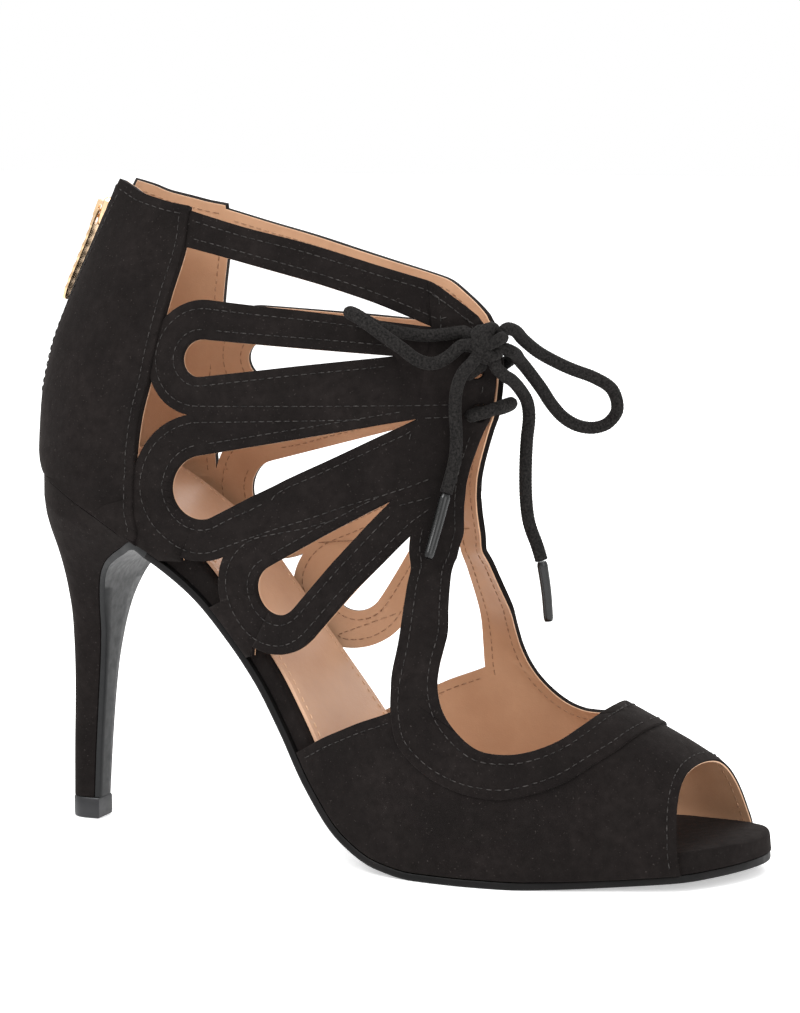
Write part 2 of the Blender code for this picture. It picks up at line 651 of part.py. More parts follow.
def upper_side(side, base):
    """Points and faces of one half of the upper, as a shell with stepped walls."""
    verts, kept = pattern_mesh(side)
    wall = {level: thick for level, thick in WALLS.values()}
    place = {}
    for triangle, _ in kept:
        for i in triangle:
            if i not in place:
                station = min(max(verts[i].x / STATION_SCALE, 0.0), LAST_SECTION)
                up = share_up(verts[i].y / GIRTH_SCALE)
                if up < 1e-7:
                    up = 0.0
                if up > 1 - 1e-7:
                    up = 1.0
                place[i] = (station, up, last_point(station, up, side),
                            surface_normal(station, up, side))
    points, index = [], {}

    def vertex(i, level):
        key = (i, level)
        if key not in index:
            _, _, p, n = place[i]
            index[key] = base + len(points)
            points.append(p if level < 0 else p + n * wall[level])
        return index[key]

    levels_at = {}
    for triangle, level in kept:
        for i in triangle:
            levels_at.setdefault(i, set()).add(level)

    def stack(i, low, high):
        """The points up one edge of a wall, with every level between."""
        between = sorted(k for k in levels_at[i] if low < k < high)
        return [vertex(i, k) for k in [low] + between + [high]]

    edges = {}
    faces = []
    for triangle, level in kept:
        a, b, c = triangle
        faces.append((vertex(a, level), vertex(b, level), vertex(c, level)))
        faces.append((vertex(c, -1), vertex(b, -1), vertex(a, -1)))
        for i, j in ((a, b), (b, c), (c, a)):
            edges.setdefault((min(i, j), max(i, j)), []).append(level)
    for (i, j), levels in edges.items():
        seam = all((place[k][1] in (0.0, 1.0)) and abs(place[k][2][1]) < 1e-9 for k in (i, j))
        if len(levels) == 1 and not seam:
            faces.append(tuple(stack(i, -1, levels[0]) + stack(j, -1, levels[0])[::-1]))
        elif len(levels) == 2 and levels[0] != levels[1]:
            low, high = sorted(levels)
            faces.append(tuple(stack(i, low, high) + stack(j, low, high)[::-1]))
    return points, faces


def build_upper(mats):
    points, faces = upper_side(-1, 0)
    more_points, more_faces = upper_side(1, len(points))
    return finish("upper", points + more_points, faces + more_faces, mats["suede_black"], 40)


# The sole's sheets

def board_depth(station):
    """Thickness of the board: thick under the heel, thin over the ball."""
    heel = Curve((SEAT, 8, 9.5, 11, 12.5, 14, TOE_END), (0.40, 0.85, 1.0, 0.72, 0.15, 0.0, 0.0))
    toe = Curve((SEAT, 21, 23, 25, TOE_END), (0.0, 0.0, 1.0, 0.9, -0.3))
    return BOARD + HEEL_PAD * heel(station) + TOE_PAD * toe(station)


def room(station, depth):
    """The last's half width at a depth above the sole's line."""
    p = sole_line(station) + depth * sole_normal(station)
    if station > LAST_SECTION:
        return 1.0
    section, up = locate(p[0], p[1])
    return half_width(LAST(section), min(max(up, 0.0), 1.0))


def sheet_rings(outline, stations, levels, margin=GAP):
    """Rings across the sole, with a pair of points at each level."""
    rings = []
    for s in stations:
        side = []
        for level in levels:
            depth = level(s)
            w = half_at(s, outline)
            if depth > GAP:
                w = min(w, room(s, depth) - margin)
            side.append((max(w, 0.0004), depth))
        rings.append([sole_point(s, -w, d) for w, d in side]
                     + [sole_point(s, w, d) for w, d in side[::-1]])
    return rings


def outline_stations(outline, start=None, end=None, step=0.34):
    """Stations along an outline: its own points at the round ends, even steps between."""
    s = outline[0]
    start = s[0] if start is None else start
    end = s[-1] if end is None else end
    middle = np.arange(max(start, SEAT + 1.2), min(end, LAST_SECTION - 0.2), step)
    rear = [v for v in s if start <= v < SEAT + 1.2 - 0.1]
    front = [v for v in s if max(middle[-1] + 0.1, LAST_SECTION - 0.2) < v < end - 1e-3]
    return [start] + [v for v in rear if v > start + 1e-3] + list(middle) + front + [end]


def build_board(mats):
    outline = inset_plan(2 * GAP)
    stations = outline_stations(outline)
    levels = (lambda s: 0.0, lambda s: board_depth(s) / 2, board_depth)
    rings = sheet_rings(outline, stations, levels, 2 * GAP)
    return loft("insole_board", rings, mats["suede_black"])


def build_sock(mats):
    outline = inset_plan(GAP + SOCK_MARGIN)
    stations = outline_stations(outline, end=SOCK_END)
    levels = (lambda s: board_depth(s) + GAP, lambda s: board_depth(s) + GAP + SOCK)
    rings = sheet_rings(outline, stations, levels, 4 * GAP)
    return loft("insole_sock", rings, mats["leather_tan"])


def heel_fronts():
    """The heel's front line from the corner under the seat to the tip, with half widths."""
    corner = sole_line(HEEL_CORNER) - GAP * sole_normal(HEEL_CORNER)
    rows = [(corner, half_at(HEEL_CORNER, inset_plan(-HEEL_LIP)) * FRONT_SHARE)]
    for r in HEEL:
        rows.append((np.array((place_x(r.front), place_z(r.front_lift))),
                     r.half * BALL_WIDTH * FRONT_SHARE))
    return rows


def forward_normals(points):
    """Directions out of the heel's front face."""
    out = []
    for i in range(len(points)):
        a = points[max(i - 1, 0)]
        b = points[min(i + 1, len(points) - 1)]
        d = (b - a) / np.linalg.norm(b - a)
        out.append(np.array((-d[1], d[0])))
    return out


def build_outsole(mats):
    """The thin outsole, which turns down over the heel's front as a flap."""
    wide = inset_plan(-OUTSOLE_LIP)
    outline = inset_plan(TOE_INSET)
    share = np.clip((outline[0] - LAST_SECTION + 3) / 3, 0, 1)
    ends = np.interp(outline[0], wide[0], wide[1])
    outline = (outline[0], outline[1] * share + ends * (1 - share))
    stations = outline_stations(outline, start=HEEL_CORNER + 0.45)
    rings = sheet_rings(outline, stations[::-1], (lambda s: -GAP - OUTSOLE, lambda s: -GAP))
    fronts = heel_fronts()
    normals = forward_normals([p for p, _ in fronts])
    n = sole_normal(HEEL_CORNER)
    inner = fronts[0][0] + 1.25 * GAP * np.array((n[1], -n[0]))
    edges = [(inner, inner - np.array((0.0, 1.17 * OUTSOLE)))]
    for i in range(1, len(fronts)):
        thick = OUTSOLE + (FLAP - OUTSOLE) * min(i / 3, 1.0)
        p = fronts[i][0]
        edges.append((p + GAP * normals[i], p + (GAP + thick) * normals[i]))
    for (inner, outer), (_, half) in zip(edges, fronts):
        half -= GAP
        rings.append([np.array((p[0], y, p[1])) for p, y in ((outer, -half), (inner, -half),
                                                             (inner, half), (outer, half))])
    return loft("outsole", rings, mats["outsole_black"])


def d_ring(back, front, half):
    """A heel section: round at the back and flat at the front."""
    left = [np.array((back[0] + (front[0] - back[0]) * t, -half * w,
                      back[1] + (front[1] - back[1]) * t)) for t, w in D_SHAPE]
    right = [np.array((p[0], -p[1], p[2])) for p in left[1:]]
    return left + right[::-1]


def build_heel(mats):
    outline = inset_plan(-HEEL_LIP)
    corner, corner_half = heel_fronts()[0]
    start = outline[0][0]
    run = np.linspace(start, HEEL_CORNER, 60)
    xs = [sole_line(s)[0] for s in run]
    top = []
    for t, _ in D_SHAPE:
        s = float(np.interp(xs[0] + (xs[-1] - xs[0]) * t, xs, run))
        w = corner_half if t == 1.0 else half_at(s, outline)
        top.append(sole_point(s, -w, -GAP))
    rings = [top + [p * np.array((1.0, -1.0, 1.0)) for p in top[:0:-1]]]
    for r in HEEL:
        rings.append(d_ring(np.array((place_x(r.back), place_z(r.back_lift))),
                            np.array((place_x(r.front), place_z(r.front_lift))),
                            r.half * BALL_WIDTH))
    return loft("heel", rings, mats["suede_black"], 50)


def build_top_lift(mats):
    tip = HEEL[-1]
    top = place_z(tip.front_lift) - GAP
    rings = []
    for z, grow in ((0.0, -0.0004), (0.0006, 0.0), (top, 0.0)):
        rings.append(d_ring(np.array((place_x(tip.back) - 0.0003 - grow, z)),
                            np.array((place_x(tip.front) + GAP + FLAP + grow, z)),
                            tip.half * BALL_WIDTH + 0.0002 + grow))
    return loft("top_lift", rings, mats["plastic_black"], 50)


# The back zip

def back_line(station):
    return LAST(station)[0:2]


def back_normal(station):
    d = back_line(station + 0.1) - back_line(max(station - 0.1, 0.0))
    d /= np.linalg.norm(d)
    return np.array((d[1], -d[0]))


def back_point(station, y, depth):
    p = back_line(station) + depth * back_normal(station)
    return np.array((p[0], y, p[1]))


TAPE_DEPTH = 0.0002
TEETH_DEPTH = TAPE_DEPTH + TAPE_THICKNESS
SLIDER_DEPTH = TEETH_DEPTH + TEETH_HEIGHT + GAP
PIN_RADIUS = 0.00045
PIN_DEPTH = SLIDER_DEPTH + SLIDER_HEIGHT + PIN_RADIUS + 0.0003
SLIDER_TOP = 0.55
PIN_STATION = 0.78


def build_zip_tape(mats):
    half = ZIP_SLIT / 2 - GAP - 0.0001
    teeth = TEETH_WIDTH / 2
    rings = []
    for s in np.linspace(0.30, ZIP_END - 0.06, 14):
        rings.append([back_point(s, y, d) for y, d in (
            (-half, TAPE_DEPTH), (half, TAPE_DEPTH), (half, TEETH_DEPTH), (teeth, TEETH_DEPTH),
            (teeth, TEETH_DEPTH + TEETH_HEIGHT), (-teeth, TEETH_DEPTH + TEETH_HEIGHT),
            (-teeth, TEETH_DEPTH), (-half, TEETH_DEPTH))])
    return loft("zip_tape", rings, mats["tape_black"])


def box_between(a, b, y0, y1, d0, d1):
    """A block along the back line between two stations, as points and faces."""
    points = [back_point(s, y, d) for s in (a, b) for y, d in ((y0, d0), (y1, d0), (y1, d1),
                                                                (y0, d1))]
    faces = [(0, 1, 2, 3), (7, 6, 5, 4), (0, 4, 5, 1), (1, 5, 6, 2), (2, 6, 7, 3), (3, 7, 4, 0)]
    return points, faces


def solid(name, points, faces, mat):
    return finish(name, points, faces, mat)


def join_solids(target, others):
    """Unite solids into the first one."""
    for k, other in enumerate(others):
        cut = target.modifiers.new("Join %d" % k, "BOOLEAN")
        cut.operation = "UNION"
        cut.object = other
        other.hide_render = True
        other.display_type = "WIRE"
    return target


def build_zip_slider(mats):
    span = SLIDER_LENGTH / np.linalg.norm(back_line(1.0) - back_line(0.0))
    top, low = SLIDER_TOP, SLIDER_TOP + span
    half = SLIDER_WIDTH / 2
    rings = []
    for t, w, h in ((0.0, 0.80, 0.7), (0.12, 1.0, 1.0), (0.55, 0.92, 1.0), (0.88, 0.62, 1.0),
                    (1.0, 0.5, 0.7)):
        s = top + (low - top) * t
        depth = SLIDER_DEPTH + SLIDER_HEIGHT * h
        rings.append([back_point(s, y, d) for y, d in (
            (-half * w, SLIDER_DEPTH), (half * w, SLIDER_DEPTH), (half * w, depth - 0.0005),
            (half * w * 0.8, depth), (-half * w * 0.8, depth), (-half * w, depth - 0.0005))])
    body = loft("zip_slider", rings, mats["metal_gold"])
    mid = PIN_STATION
    foot = SLIDER_DEPTH + SLIDER_HEIGHT - 0.0006
    under = PIN_DEPTH + PIN_RADIUS + 0.0003
    roof = under + 0.0008
    reach = 0.0024 / np.linalg.norm(back_line(1.0) - back_line(0.0))
    leg = 0.0010 / np.linalg.norm(back_line(1.0) - back_line(0.0))
    y = BRIDGE_WIDTH / 2
    parts = [(mid - reach, mid - reach + leg, foot, roof), (mid + reach - leg, mid + reach, foot, roof),
             (mid - reach, mid + reach, under, roof)]
    blocks = []
    for k, (a, b, d0, d1) in enumerate(parts):
        points, faces = box_between(a, b, -y, y, d0, d1)
        blocks.append(solid("bridge_cutter_%d" % k, points, faces, mats["metal_gold"]))
    return join_solids(body, blocks)


def hinge_point():
    p = back_line(PIN_STATION) + PIN_DEPTH * back_normal(PIN_STATION)
    return np.array((p[0], 0.0, p[1]))


def tab_line():
    """The tab's middle line in side view, from the pin down the back."""
    rest = COUNTER_WALL + TAB_THICKNESS / 2 + 0.0004
    depths = ((0.0, PIN_DEPTH), (0.10, PIN_DEPTH + 0.0001), (0.30, rest + 0.0004),
              (0.55, rest + 0.0003), (0.80, rest + 0.0003), (1.0, rest + 0.0003))
    span = np.linalg.norm(back_line(1.0) - back_line(0.0))
    out = []
    for t, depth in depths:
        s = PIN_STATION + t * TAB_LENGTH / span
        out.append(back_line(s) + depth * back_normal(s))
    return out


def build_zip_tab(mats):
    """The pull tab: a pin under the slider's bridge, two arms and a ribbed plate."""
    pin = hinge_point()
    line = tab_line()
    half = TAB_WIDTH / 2
    arm = 0.0010
    window = 0.16
    curve = Curve((0.0, 0.10, 0.30, 0.55, 0.80, 1.0), line)
    widths = Curve((0.0, 0.16, 0.5, 0.85, 1.0), (0.72, 0.80, 0.92, 1.0, 0.62))

    def ring(share, y0, y1):
        a = curve(max(share - 0.02, 0.0))
        b = curve(min(share + 0.02, 1.0))
        d = (b - a) / np.linalg.norm(b - a)
        n = np.array((d[1], -d[0])) * TAB_THICKNESS / 2
        p = curve(share)
        return [np.array((p[0] - n[0], y0, p[1] - n[1])), np.array((p[0] - n[0], y1, p[1] - n[1])),
                np.array((p[0] + n[0], y1, p[1] + n[1])), np.array((p[0] + n[0], y0, p[1] + n[1]))]

    plate = loft("zip_pull_tab", [ring(s, -half * widths(s), half * widths(s))
                                  for s in (window, 0.25, 0.35, 0.45, 0.55, 0.65, 0.75, 0.85,
                                            0.93, 0.98, 1.0)], mats["metal_gold"])
    extras = []
    for k, side in enumerate((-1, 1)):
        rings = []
        for s in (0.0, 0.08, window + 0.02):
            outer = half * widths(s)
            y0, y1 = sorted((side * outer, side * (outer - arm)))
            rings.append(ring(s, y0, y1))
        extras.append(loft("tab_arm_cutter_%d" % k, rings, mats["metal_gold"]))
    rings = []
    for y in (-half * widths(0.0), half * widths(0.0)):
        rings.append([np.array((pin[0] + PIN_RADIUS * math.cos(a), y * 0.98,
                                pin[2] + PIN_RADIUS * math.sin(a)))
                      for a in np.linspace(0, 2 * math.pi, 9)[:-1]])
    extras.append(loft("tab_pin_cutter", rings, mats["metal_gold"]))
    return join_solids(plate, extras)


# The laces

def tube(name, points, diameter, spacing, mat):
    """A cord along a smooth curve through its points, spacing in diameters."""
    points = np.array(points) / 1000
    length = np.concatenate([[0.0], np.cumsum(np.linalg.norm(np.diff(points, axis=0), axis=1))])
    count = max(round(length[-1] / (spacing * diameter)) + 1, 3)
    places = list(np.linspace(0, length[-1], count))
    start, end = KNOT_EXITS.get(name, (None, None))
    if length[-1] > 4 * diameter:
        places += [0.0015] if start else []
        places += [length[-1] - 0.0015] if end else []
    route = through(points, length, sorted(places))
    curve = bpy.data.curves.new(name, "CURVE")
    curve.dimensions = "3D"
    curve.bevel_depth = diameter / 2
    curve.bevel_resolution = 2
    curve.use_fill_caps = True
    spline = curve.splines.new("POLY")
    spline.points.add(len(route) - 1)
    for point, place in zip(spline.points, route):
        point.co = (*place, 1.0)
    curve.materials.append(mat)
    obj = bpy.data.objects.new(name, curve)
    bpy.context.collection.objects.link(obj)
    return obj


def through(points, length, places):
    """Points read from a smooth curve through a route's own points."""
    m = np.zeros_like(points)
    m[1:-1] = (points[2:] - points[:-2]) / (length[2:] - length[:-2])[:, None]
    m[0] = (points[1] - points[0]) / (length[1] - length[0])
    m[-1] = (points[-1] - points[-2]) / (length[-1] - length[-2])
    out = []
    for t in places:
        i = min(int(np.searchsorted(length, t, side="right")) - 1, len(length) - 2)
        h = length[i + 1] - length[i]
        r = (t - length[i]) / h
        out.append((2 * r**3 - 3 * r**2 + 1) * points[i] + (r**3 - 2 * r**2 + r) * h * m[i]
                   + (3 * r**2 - 2 * r**3) * points[i + 1] + (r**3 - r**2) * h * m[i + 1])
    return out


# Routes of the laces in millimetres, chosen by hand, and the directions in which they leave the
# knot at their start and end
BARS = {
    "lace_bar": ((119.2, -8.8, 119.8), (122.2, -7.7, 120.6), (125.1, -4.8, 121.8),
                 (126.8, 0.0, 122.6), (125.1, 4.8, 121.8), (122.2, 7.7, 120.6),
                 (119.2, 8.8, 119.8)),
    "lace_rise_near": ((118.4, -8.9, 130.8), (120.0, -8.7, 132.2)),
    "lace_rise_far": ((118.4, 8.9, 130.8), (121.4, 8.7, 132.0), (124.0, 7.6, 133.6),
                      (126.0, 5.8, 135.4)),
}
CORDS = {
    "lace_loop_near": ((114.6, -14.2, 135.6), (111.4, -16.6, 134.0),
                       (108.2, -19.4, 135.0), (104.0, -21.4, 138.4), (98.4, -22.2, 142.2),
                       (93.4, -22.2, 145.4), (89.6, -20.9, 147.0), (89.8, -17.4, 146.4),
                       (95.4, -15.6, 143.2), (106.7, -13.2, 141.0), (113.0, -10.8, 141.4)),
    "lace_loop_far": ((129.2, -2.4, 142.0), (130.0, 1.2, 139.6), (132.8, 5.6, 136.0),
                      (136.8, 9.6, 133.0), (140.2, 12.6, 131.0), (145.2, 16.0, 128.7),
                      (148.9, 19.5, 125.4), (149.6, 22.0, 120.0), (147.0, 22.6, 116.2),
                      (143.6, 21.0, 114.8), (139.8, 18.5, 115.4), (136.6, 15.5, 117.8),
                      (134.2, 12.4, 121.6), (132.4, 9.2, 126.0), (129.8, 5.0, 131.4),
                      (129.0, 1.0, 134.2), (129.2, -2.0, 135.8)),
    "lace_end_far": ((127.4, -6.2, 130.6), (128.3, -2.6, 129.0), (128.8, 2.0, 126.4),
                     (129.6, 5.6, 122.8), (129.6, 7.4, 118.4), (128.8, 8.0, 112.2),
                     (128.4, 8.2, 104.0), (128.6, 8.2, 96.0), (129.4, 8.6, 89.6),
                     (131.6, 9.2, 83.2), (132.6, 9.6, 79.6)),
    "lace_end_near": ((118.9, -14.6, 131.4), (117.0, -14.0, 127.0),
                      (116.0, -12.4, 121.3), (115.9, -11.2, 114.8), (115.6, -11.2, 109.0),
                      (114.6, -12.0, 103.6), (113.8, -13.2, 99.6)),
    "aglet_near": ((113.7, -13.3, 99.2), (112.6, -16.2, 91.4), (111.4, -20.0, 83.0)),
    "aglet_far": ((132.7, 9.62, 79.2), (133.8, 10.2, 71.0), (134.4, 10.6, 62.9)),
}
KNOT_EXITS = {
    "lace_rise_near": (None, (-0.30, 0.30, -0.90)),
    "lace_loop_near": ((-0.75, -0.65, -0.10), (-0.90, 0.10, 0.42)),
    "lace_loop_far": ((0.50, 0.70, 0.50), (0.60, 0.75, -0.30)),
    "lace_end_far": ((0.30, 0.10, -0.93), None),
    "lace_end_near": ((-0.30, -0.70, -0.65), None),
}
KNOT_PLACE = (0.1238, -0.0094, 0.1392)


def knot_exit(direction):
    """Two points in millimetres where a lace leaves the knot, the first by its surface."""
    n = np.array(direction) / np.linalg.norm(direction)
    radii = np.array(KNOT) * 1000
    surface = radii**2 * n / np.linalg.norm(radii * n) + np.array(KNOT_PLACE) * 1000
    return [tuple(surface + n * 1.5 * GAP * 1000), tuple(surface + n * 1.9)]


def routed(name, points):
    """A lace's route with the points by the knot at the ends that leave it."""
    start, end = KNOT_EXITS.get(name, (None, None))
    first = knot_exit(start) if start else []
    last = knot_exit(end)[::-1] if end else []
    return first + list(points) + last


def build_knot(mats):
    mesh = bpy.data.meshes.new("lace_knot")
    bm = bmesh.new()
    bmesh.ops.create_uvsphere(bm, u_segments=16, v_segments=10, radius=1.0)
    bmesh.ops.scale(bm, vec=KNOT, verts=bm.verts)
    bm.to_mesh(mesh)
    bm.free()
    mesh.shade_smooth()
    mesh.materials.append(mats["cord_black"])
    obj = bpy.data.objects.new("lace_knot", mesh)
    obj.location = KNOT_PLACE
    bpy.context.collection.objects.link(obj)
    return obj


def build_laces(mats):
    for name, points in BARS.items():
        tube(name, routed(name, points), LACE, 1.1, mats["cord_black"])
    for name, points in CORDS.items():
        tip = name.startswith("aglet")
        tube(name, routed(name, points), AGLET if tip else LACE, 2.0,
             mats["aglet_black" if tip else "cord_black"])
    build_knot(mats)


def main():
    for obj in list(bpy.data.objects):
        bpy.data.objects.remove(obj, do_unlink=True)
    mats = {name: material(name) for name in FINISHES}
    build_upper(mats)
    build_board(mats)
    build_sock(mats)
    build_outsole(mats)
    build_heel(mats)
    build_top_lift(mats)
    build_zip_tape(mats)
    build_zip_slider(mats)
    build_zip_tab(mats)
    build_laces(mats)


main()
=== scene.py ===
"""Looks of the lace up heel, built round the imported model."""
import math
from collections import namedtuple

import bmesh
import bpy
import numpy as np
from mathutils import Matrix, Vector
from mathutils.geometry import delaunay_2d_cdt
from mathutils.kdtree import KDTree


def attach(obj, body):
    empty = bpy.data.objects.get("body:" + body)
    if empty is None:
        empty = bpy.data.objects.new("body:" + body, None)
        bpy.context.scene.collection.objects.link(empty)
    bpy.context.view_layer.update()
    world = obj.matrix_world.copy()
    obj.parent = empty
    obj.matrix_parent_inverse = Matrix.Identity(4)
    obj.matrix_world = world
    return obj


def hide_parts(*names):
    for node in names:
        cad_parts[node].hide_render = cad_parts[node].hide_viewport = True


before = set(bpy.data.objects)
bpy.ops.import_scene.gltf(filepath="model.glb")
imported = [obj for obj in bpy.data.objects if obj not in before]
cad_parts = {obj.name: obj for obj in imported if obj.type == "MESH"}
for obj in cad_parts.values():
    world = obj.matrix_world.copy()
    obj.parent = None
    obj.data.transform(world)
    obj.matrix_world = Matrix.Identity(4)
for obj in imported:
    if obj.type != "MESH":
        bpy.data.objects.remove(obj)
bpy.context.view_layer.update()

# Driving dimensions
LENGTH = 0.211
BACK_X = -0.013
BALL_WIDTH = 0.072
HEEL_HEIGHT = 0.100
SHAFT_HEIGHT = 0.0845
TOE_SKEW = 0.18
MEDIAL_DROP = 0.007

# Walls, sheets and gaps
VAMP_WALL = 0.0012
BAND_WALL = 0.0020
COUNTER_WALL = 0.0028
GAP = 0.0003
OUTSOLE = 0.0020
FLAP = 0.0015
OUTSOLE_LIP = 0.0012
BOARD = 0.0040
TOE_PAD = 0.0018
TOE_INSET = 0.0008
HEEL_PAD = 0.0050
SOCK = 0.0008
SOCK_MARGIN = 0.0030
SOCK_END = 21.8
HEEL_LIP = 0.0022

# Petals, lacing, zip
LACE_HOLE = 0.0024
LACE = 0.0036
AGLET = 0.0030
KNOT = (0.0055, 0.0040, 0.0050)
ZIP_SLIT = 0.0060
ZIP_END = 3.9
TAPE_THICKNESS = 0.0007
TEETH_WIDTH = 0.0028
TEETH_HEIGHT = 0.0006
SLIDER_HEIGHT = 0.0018
TAB_LENGTH = 0.0270
TAB_WIDTH = 0.0062
TAB_THICKNESS = 0.0012

# The last, a row for each section from the collar (0) over the seat (6) to the toe opening (24).
# Places along are shares of LENGTH, widths are shares of BALL_WIDTH. A height is
# lift * HEEL_HEIGHT + up * SHAFT_HEIGHT above the sole. sole is the half width at the sole edge and
# w06 to w94 are half widths at 6 to 94 hundredths of the way up the section.
Section = namedtuple("Section", "bottom_x bottom_lift bottom_up top_x top_lift top_up "
                                "sole w06 w18 w38 w60 w80 w94")
SECTIONS = [Section(*row) for row in (
    (0.135, 0.987, 0.988, 0.630, 0.350, 1.363, 0.000, 0.072, 0.124, 0.133, 0.094, 0.090, 0.058),
    (0.100, 0.987, 0.781, 0.641, 0.350, 1.227, 0.000, 0.108, 0.178, 0.192, 0.153, 0.125, 0.069),
    (0.062, 0.987, 0.574, 0.646, 0.350, 1.103, 0.000, 0.136, 0.225, 0.250, 0.219, 0.160, 0.078),
    (0.031, 0.987, 0.373, 0.642, 0.350, 0.991, 0.000, 0.165, 0.262, 0.292, 0.268, 0.183, 0.087),
    (0.018, 0.987, 0.201, 0.633, 0.350, 0.890, 0.000, 0.188, 0.290, 0.317, 0.299, 0.208, 0.097),
    (0.017, 0.987, 0.077, 0.625, 0.350, 0.807, 0.000, 0.212, 0.312, 0.333, 0.319, 0.229, 0.108),
    (0.024, 0.987, 0.000, 0.621, 0.350, 0.754, 0.000, 0.236, 0.326, 0.343, 0.333, 0.243, 0.114),
    (0.038, 0.977, 0.000, 0.620, 0.340, 0.730, 0.152, 0.262, 0.335, 0.347, 0.336, 0.250, 0.118),
    (0.071, 0.950, 0.000, 0.619, 0.330, 0.712, 0.267, 0.303, 0.342, 0.351, 0.340, 0.257, 0.125),
    (0.118, 0.900, 0.000, 0.619, 0.320, 0.689, 0.322, 0.333, 0.347, 0.354, 0.344, 0.264, 0.132),
    (0.175, 0.830, 0.000, 0.620, 0.310, 0.659, 0.333, 0.338, 0.347, 0.358, 0.347, 0.271, 0.139),
    (0.230, 0.762, 0.000, 0.623, 0.300, 0.630, 0.326, 0.333, 0.344, 0.361, 0.347, 0.271, 0.146),
    (0.282, 0.677, 0.000, 0.630, 0.280, 0.612, 0.319, 0.326, 0.340, 0.368, 0.354, 0.264, 0.132),
    (0.327, 0.572, 0.000, 0.639, 0.260, 0.588, 0.317, 0.331, 0.354, 0.389, 0.382, 0.299, 0.167),
    (0.367, 0.465, 0.000, 0.651, 0.220, 0.582, 0.326, 0.347, 0.375, 0.421, 0.417, 0.326, 0.181),
    (0.408, 0.337, 0.000, 0.666, 0.160, 0.594, 0.361, 0.379, 0.410, 0.451, 0.451, 0.354, 0.194),
    (0.450, 0.197, 0.000, 0.685, 0.100, 0.600, 0.407, 0.421, 0.444, 0.476, 0.479, 0.396, 0.215),
    (0.498, 0.077, 0.000, 0.707, 0.050, 0.594, 0.444, 0.456, 0.475, 0.500, 0.497, 0.424, 0.229),
    (0.550, 0.017, 0.000, 0.735, 0.020, 0.568, 0.472, 0.481, 0.497, 0.514, 0.504, 0.417, 0.236),
    (0.602, 0.000, 0.000, 0.764, 0.000, 0.530, 0.490, 0.497, 0.508, 0.514, 0.486, 0.382, 0.222),
    (0.664, 0.000, 0.000, 0.793, 0.000, 0.484, 0.500, 0.503, 0.506, 0.497, 0.451, 0.340, 0.201),
    (0.730, 0.000, 0.000, 0.822, 0.000, 0.449, 0.486, 0.490, 0.490, 0.462, 0.403, 0.306, 0.183),
    (0.796, 0.004, 0.000, 0.850, 0.000, 0.415, 0.442, 0.446, 0.444, 0.410, 0.354, 0.271, 0.167),
    (0.863, 0.011, 0.000, 0.881, 0.000, 0.378, 0.378, 0.382, 0.380, 0.352, 0.306, 0.233, 0.146),
    (0.941, 0.023, 0.000, 0.918, 0.000, 0.322, 0.294, 0.298, 0.298, 0.280, 0.250, 0.202, 0.132),
)]
WIDTH_LEVELS = (0.0, 0.06, 0.18, 0.38, 0.60, 0.80, 0.94, 1.0)
SEAT = 6
LAST_SECTION = len(SECTIONS) - 1

# The sole's toe beyond the opening: along, lift, half width and swing to the inner side
ToeRow = namedtuple("ToeRow", "along lift half swing")
TOE_ROWS = [ToeRow(*row) for row in (
    (0.963, 0.027, 0.236, 0.020),
    (0.980, 0.030, 0.162, 0.045),
    (0.990, 0.032, 0.083, 0.064),
    (0.993, 0.033, 0.008, 0.074),
)]
TOE_END = LAST_SECTION + len(TOE_ROWS)
SKEW_START = 19.0

# Seam lines of the pattern: station (section number) and share of the way up to the ridge
THROAT = ((0.30, 1.030), (0.65, 0.974), (0.90, 0.986), (1.30, 0.992), (2.00, 0.995), (3.20, 0.994),
          (3.65, 0.989), (5.10, 0.982), (8.00, 0.979), (10.10, 0.974), (12.18, 0.927),
          (14.07, 0.866), (15.03, 0.826), (15.68, 0.767), (16.09, 0.731), (16.63, 0.703),
          (17.32, 0.686), (18.07, 0.677), (18.87, 0.709), (19.50, 0.770), (19.99, 0.865),
          (20.24, 0.970), (20.30, 1.000), (20.32, 1.030))
BAND_EDGE = ((9.68, 0.870), (11.87, 0.813), (13.22, 0.753), (14.52, 0.671), (15.40, 0.582),
             (16.03, 0.513), (16.60, 0.474), (17.26, 0.473), (17.97, 0.477), (18.74, 0.486),
             (19.62, 0.504), (20.35, 0.564), (20.93, 0.646), (21.40, 0.772), (21.89, 0.918),
             (22.10, 1.000), (22.12, 1.030))
FACING_REAR = ((1.13, 0.872), (2.50, 0.845), (4.50, 0.845), (7.00, 0.850), (9.68, 0.870))
VAMP_REAR = ((15.90, 0.522), (15.63, 0.329), (15.49, 0.134), (15.45, 0.000), (15.45, -0.030))
STRAP_UPPER = ((0.27, 0.200), (0.26, 0.351), (0.21, 0.531), (0.18, 0.731), (0.15, 0.865),
               (0.35, 0.926), (0.65, 0.974))
STRAP_LOWER = ((0.84, 0.200), (0.82, 0.380), (0.84, 0.552), (0.90, 0.709), (1.03, 0.822),
               (1.13, 0.872))
COUNTER_TOP = ((0.20, -0.010), (0.20, 0.010), (0.22, 0.053), (0.26, 0.100), (0.25, 0.174),
               (0.21, 0.235))
COUNTER_FRONT = ((0.21, 0.235), (0.80, 0.259), (1.56, 0.271), (2.10, 0.281), (3.25, 0.299),
                 (4.51, 0.296), (5.23, 0.296), (6.00, 0.290), (7.00, 0.273), (8.00, 0.230),
                 (9.00, 0.157), (10.00, 0.056), (10.40, 0.000), (10.50, -0.030))
LACE_HOLES = ((1.95, 0.962), (3.10, 0.977))

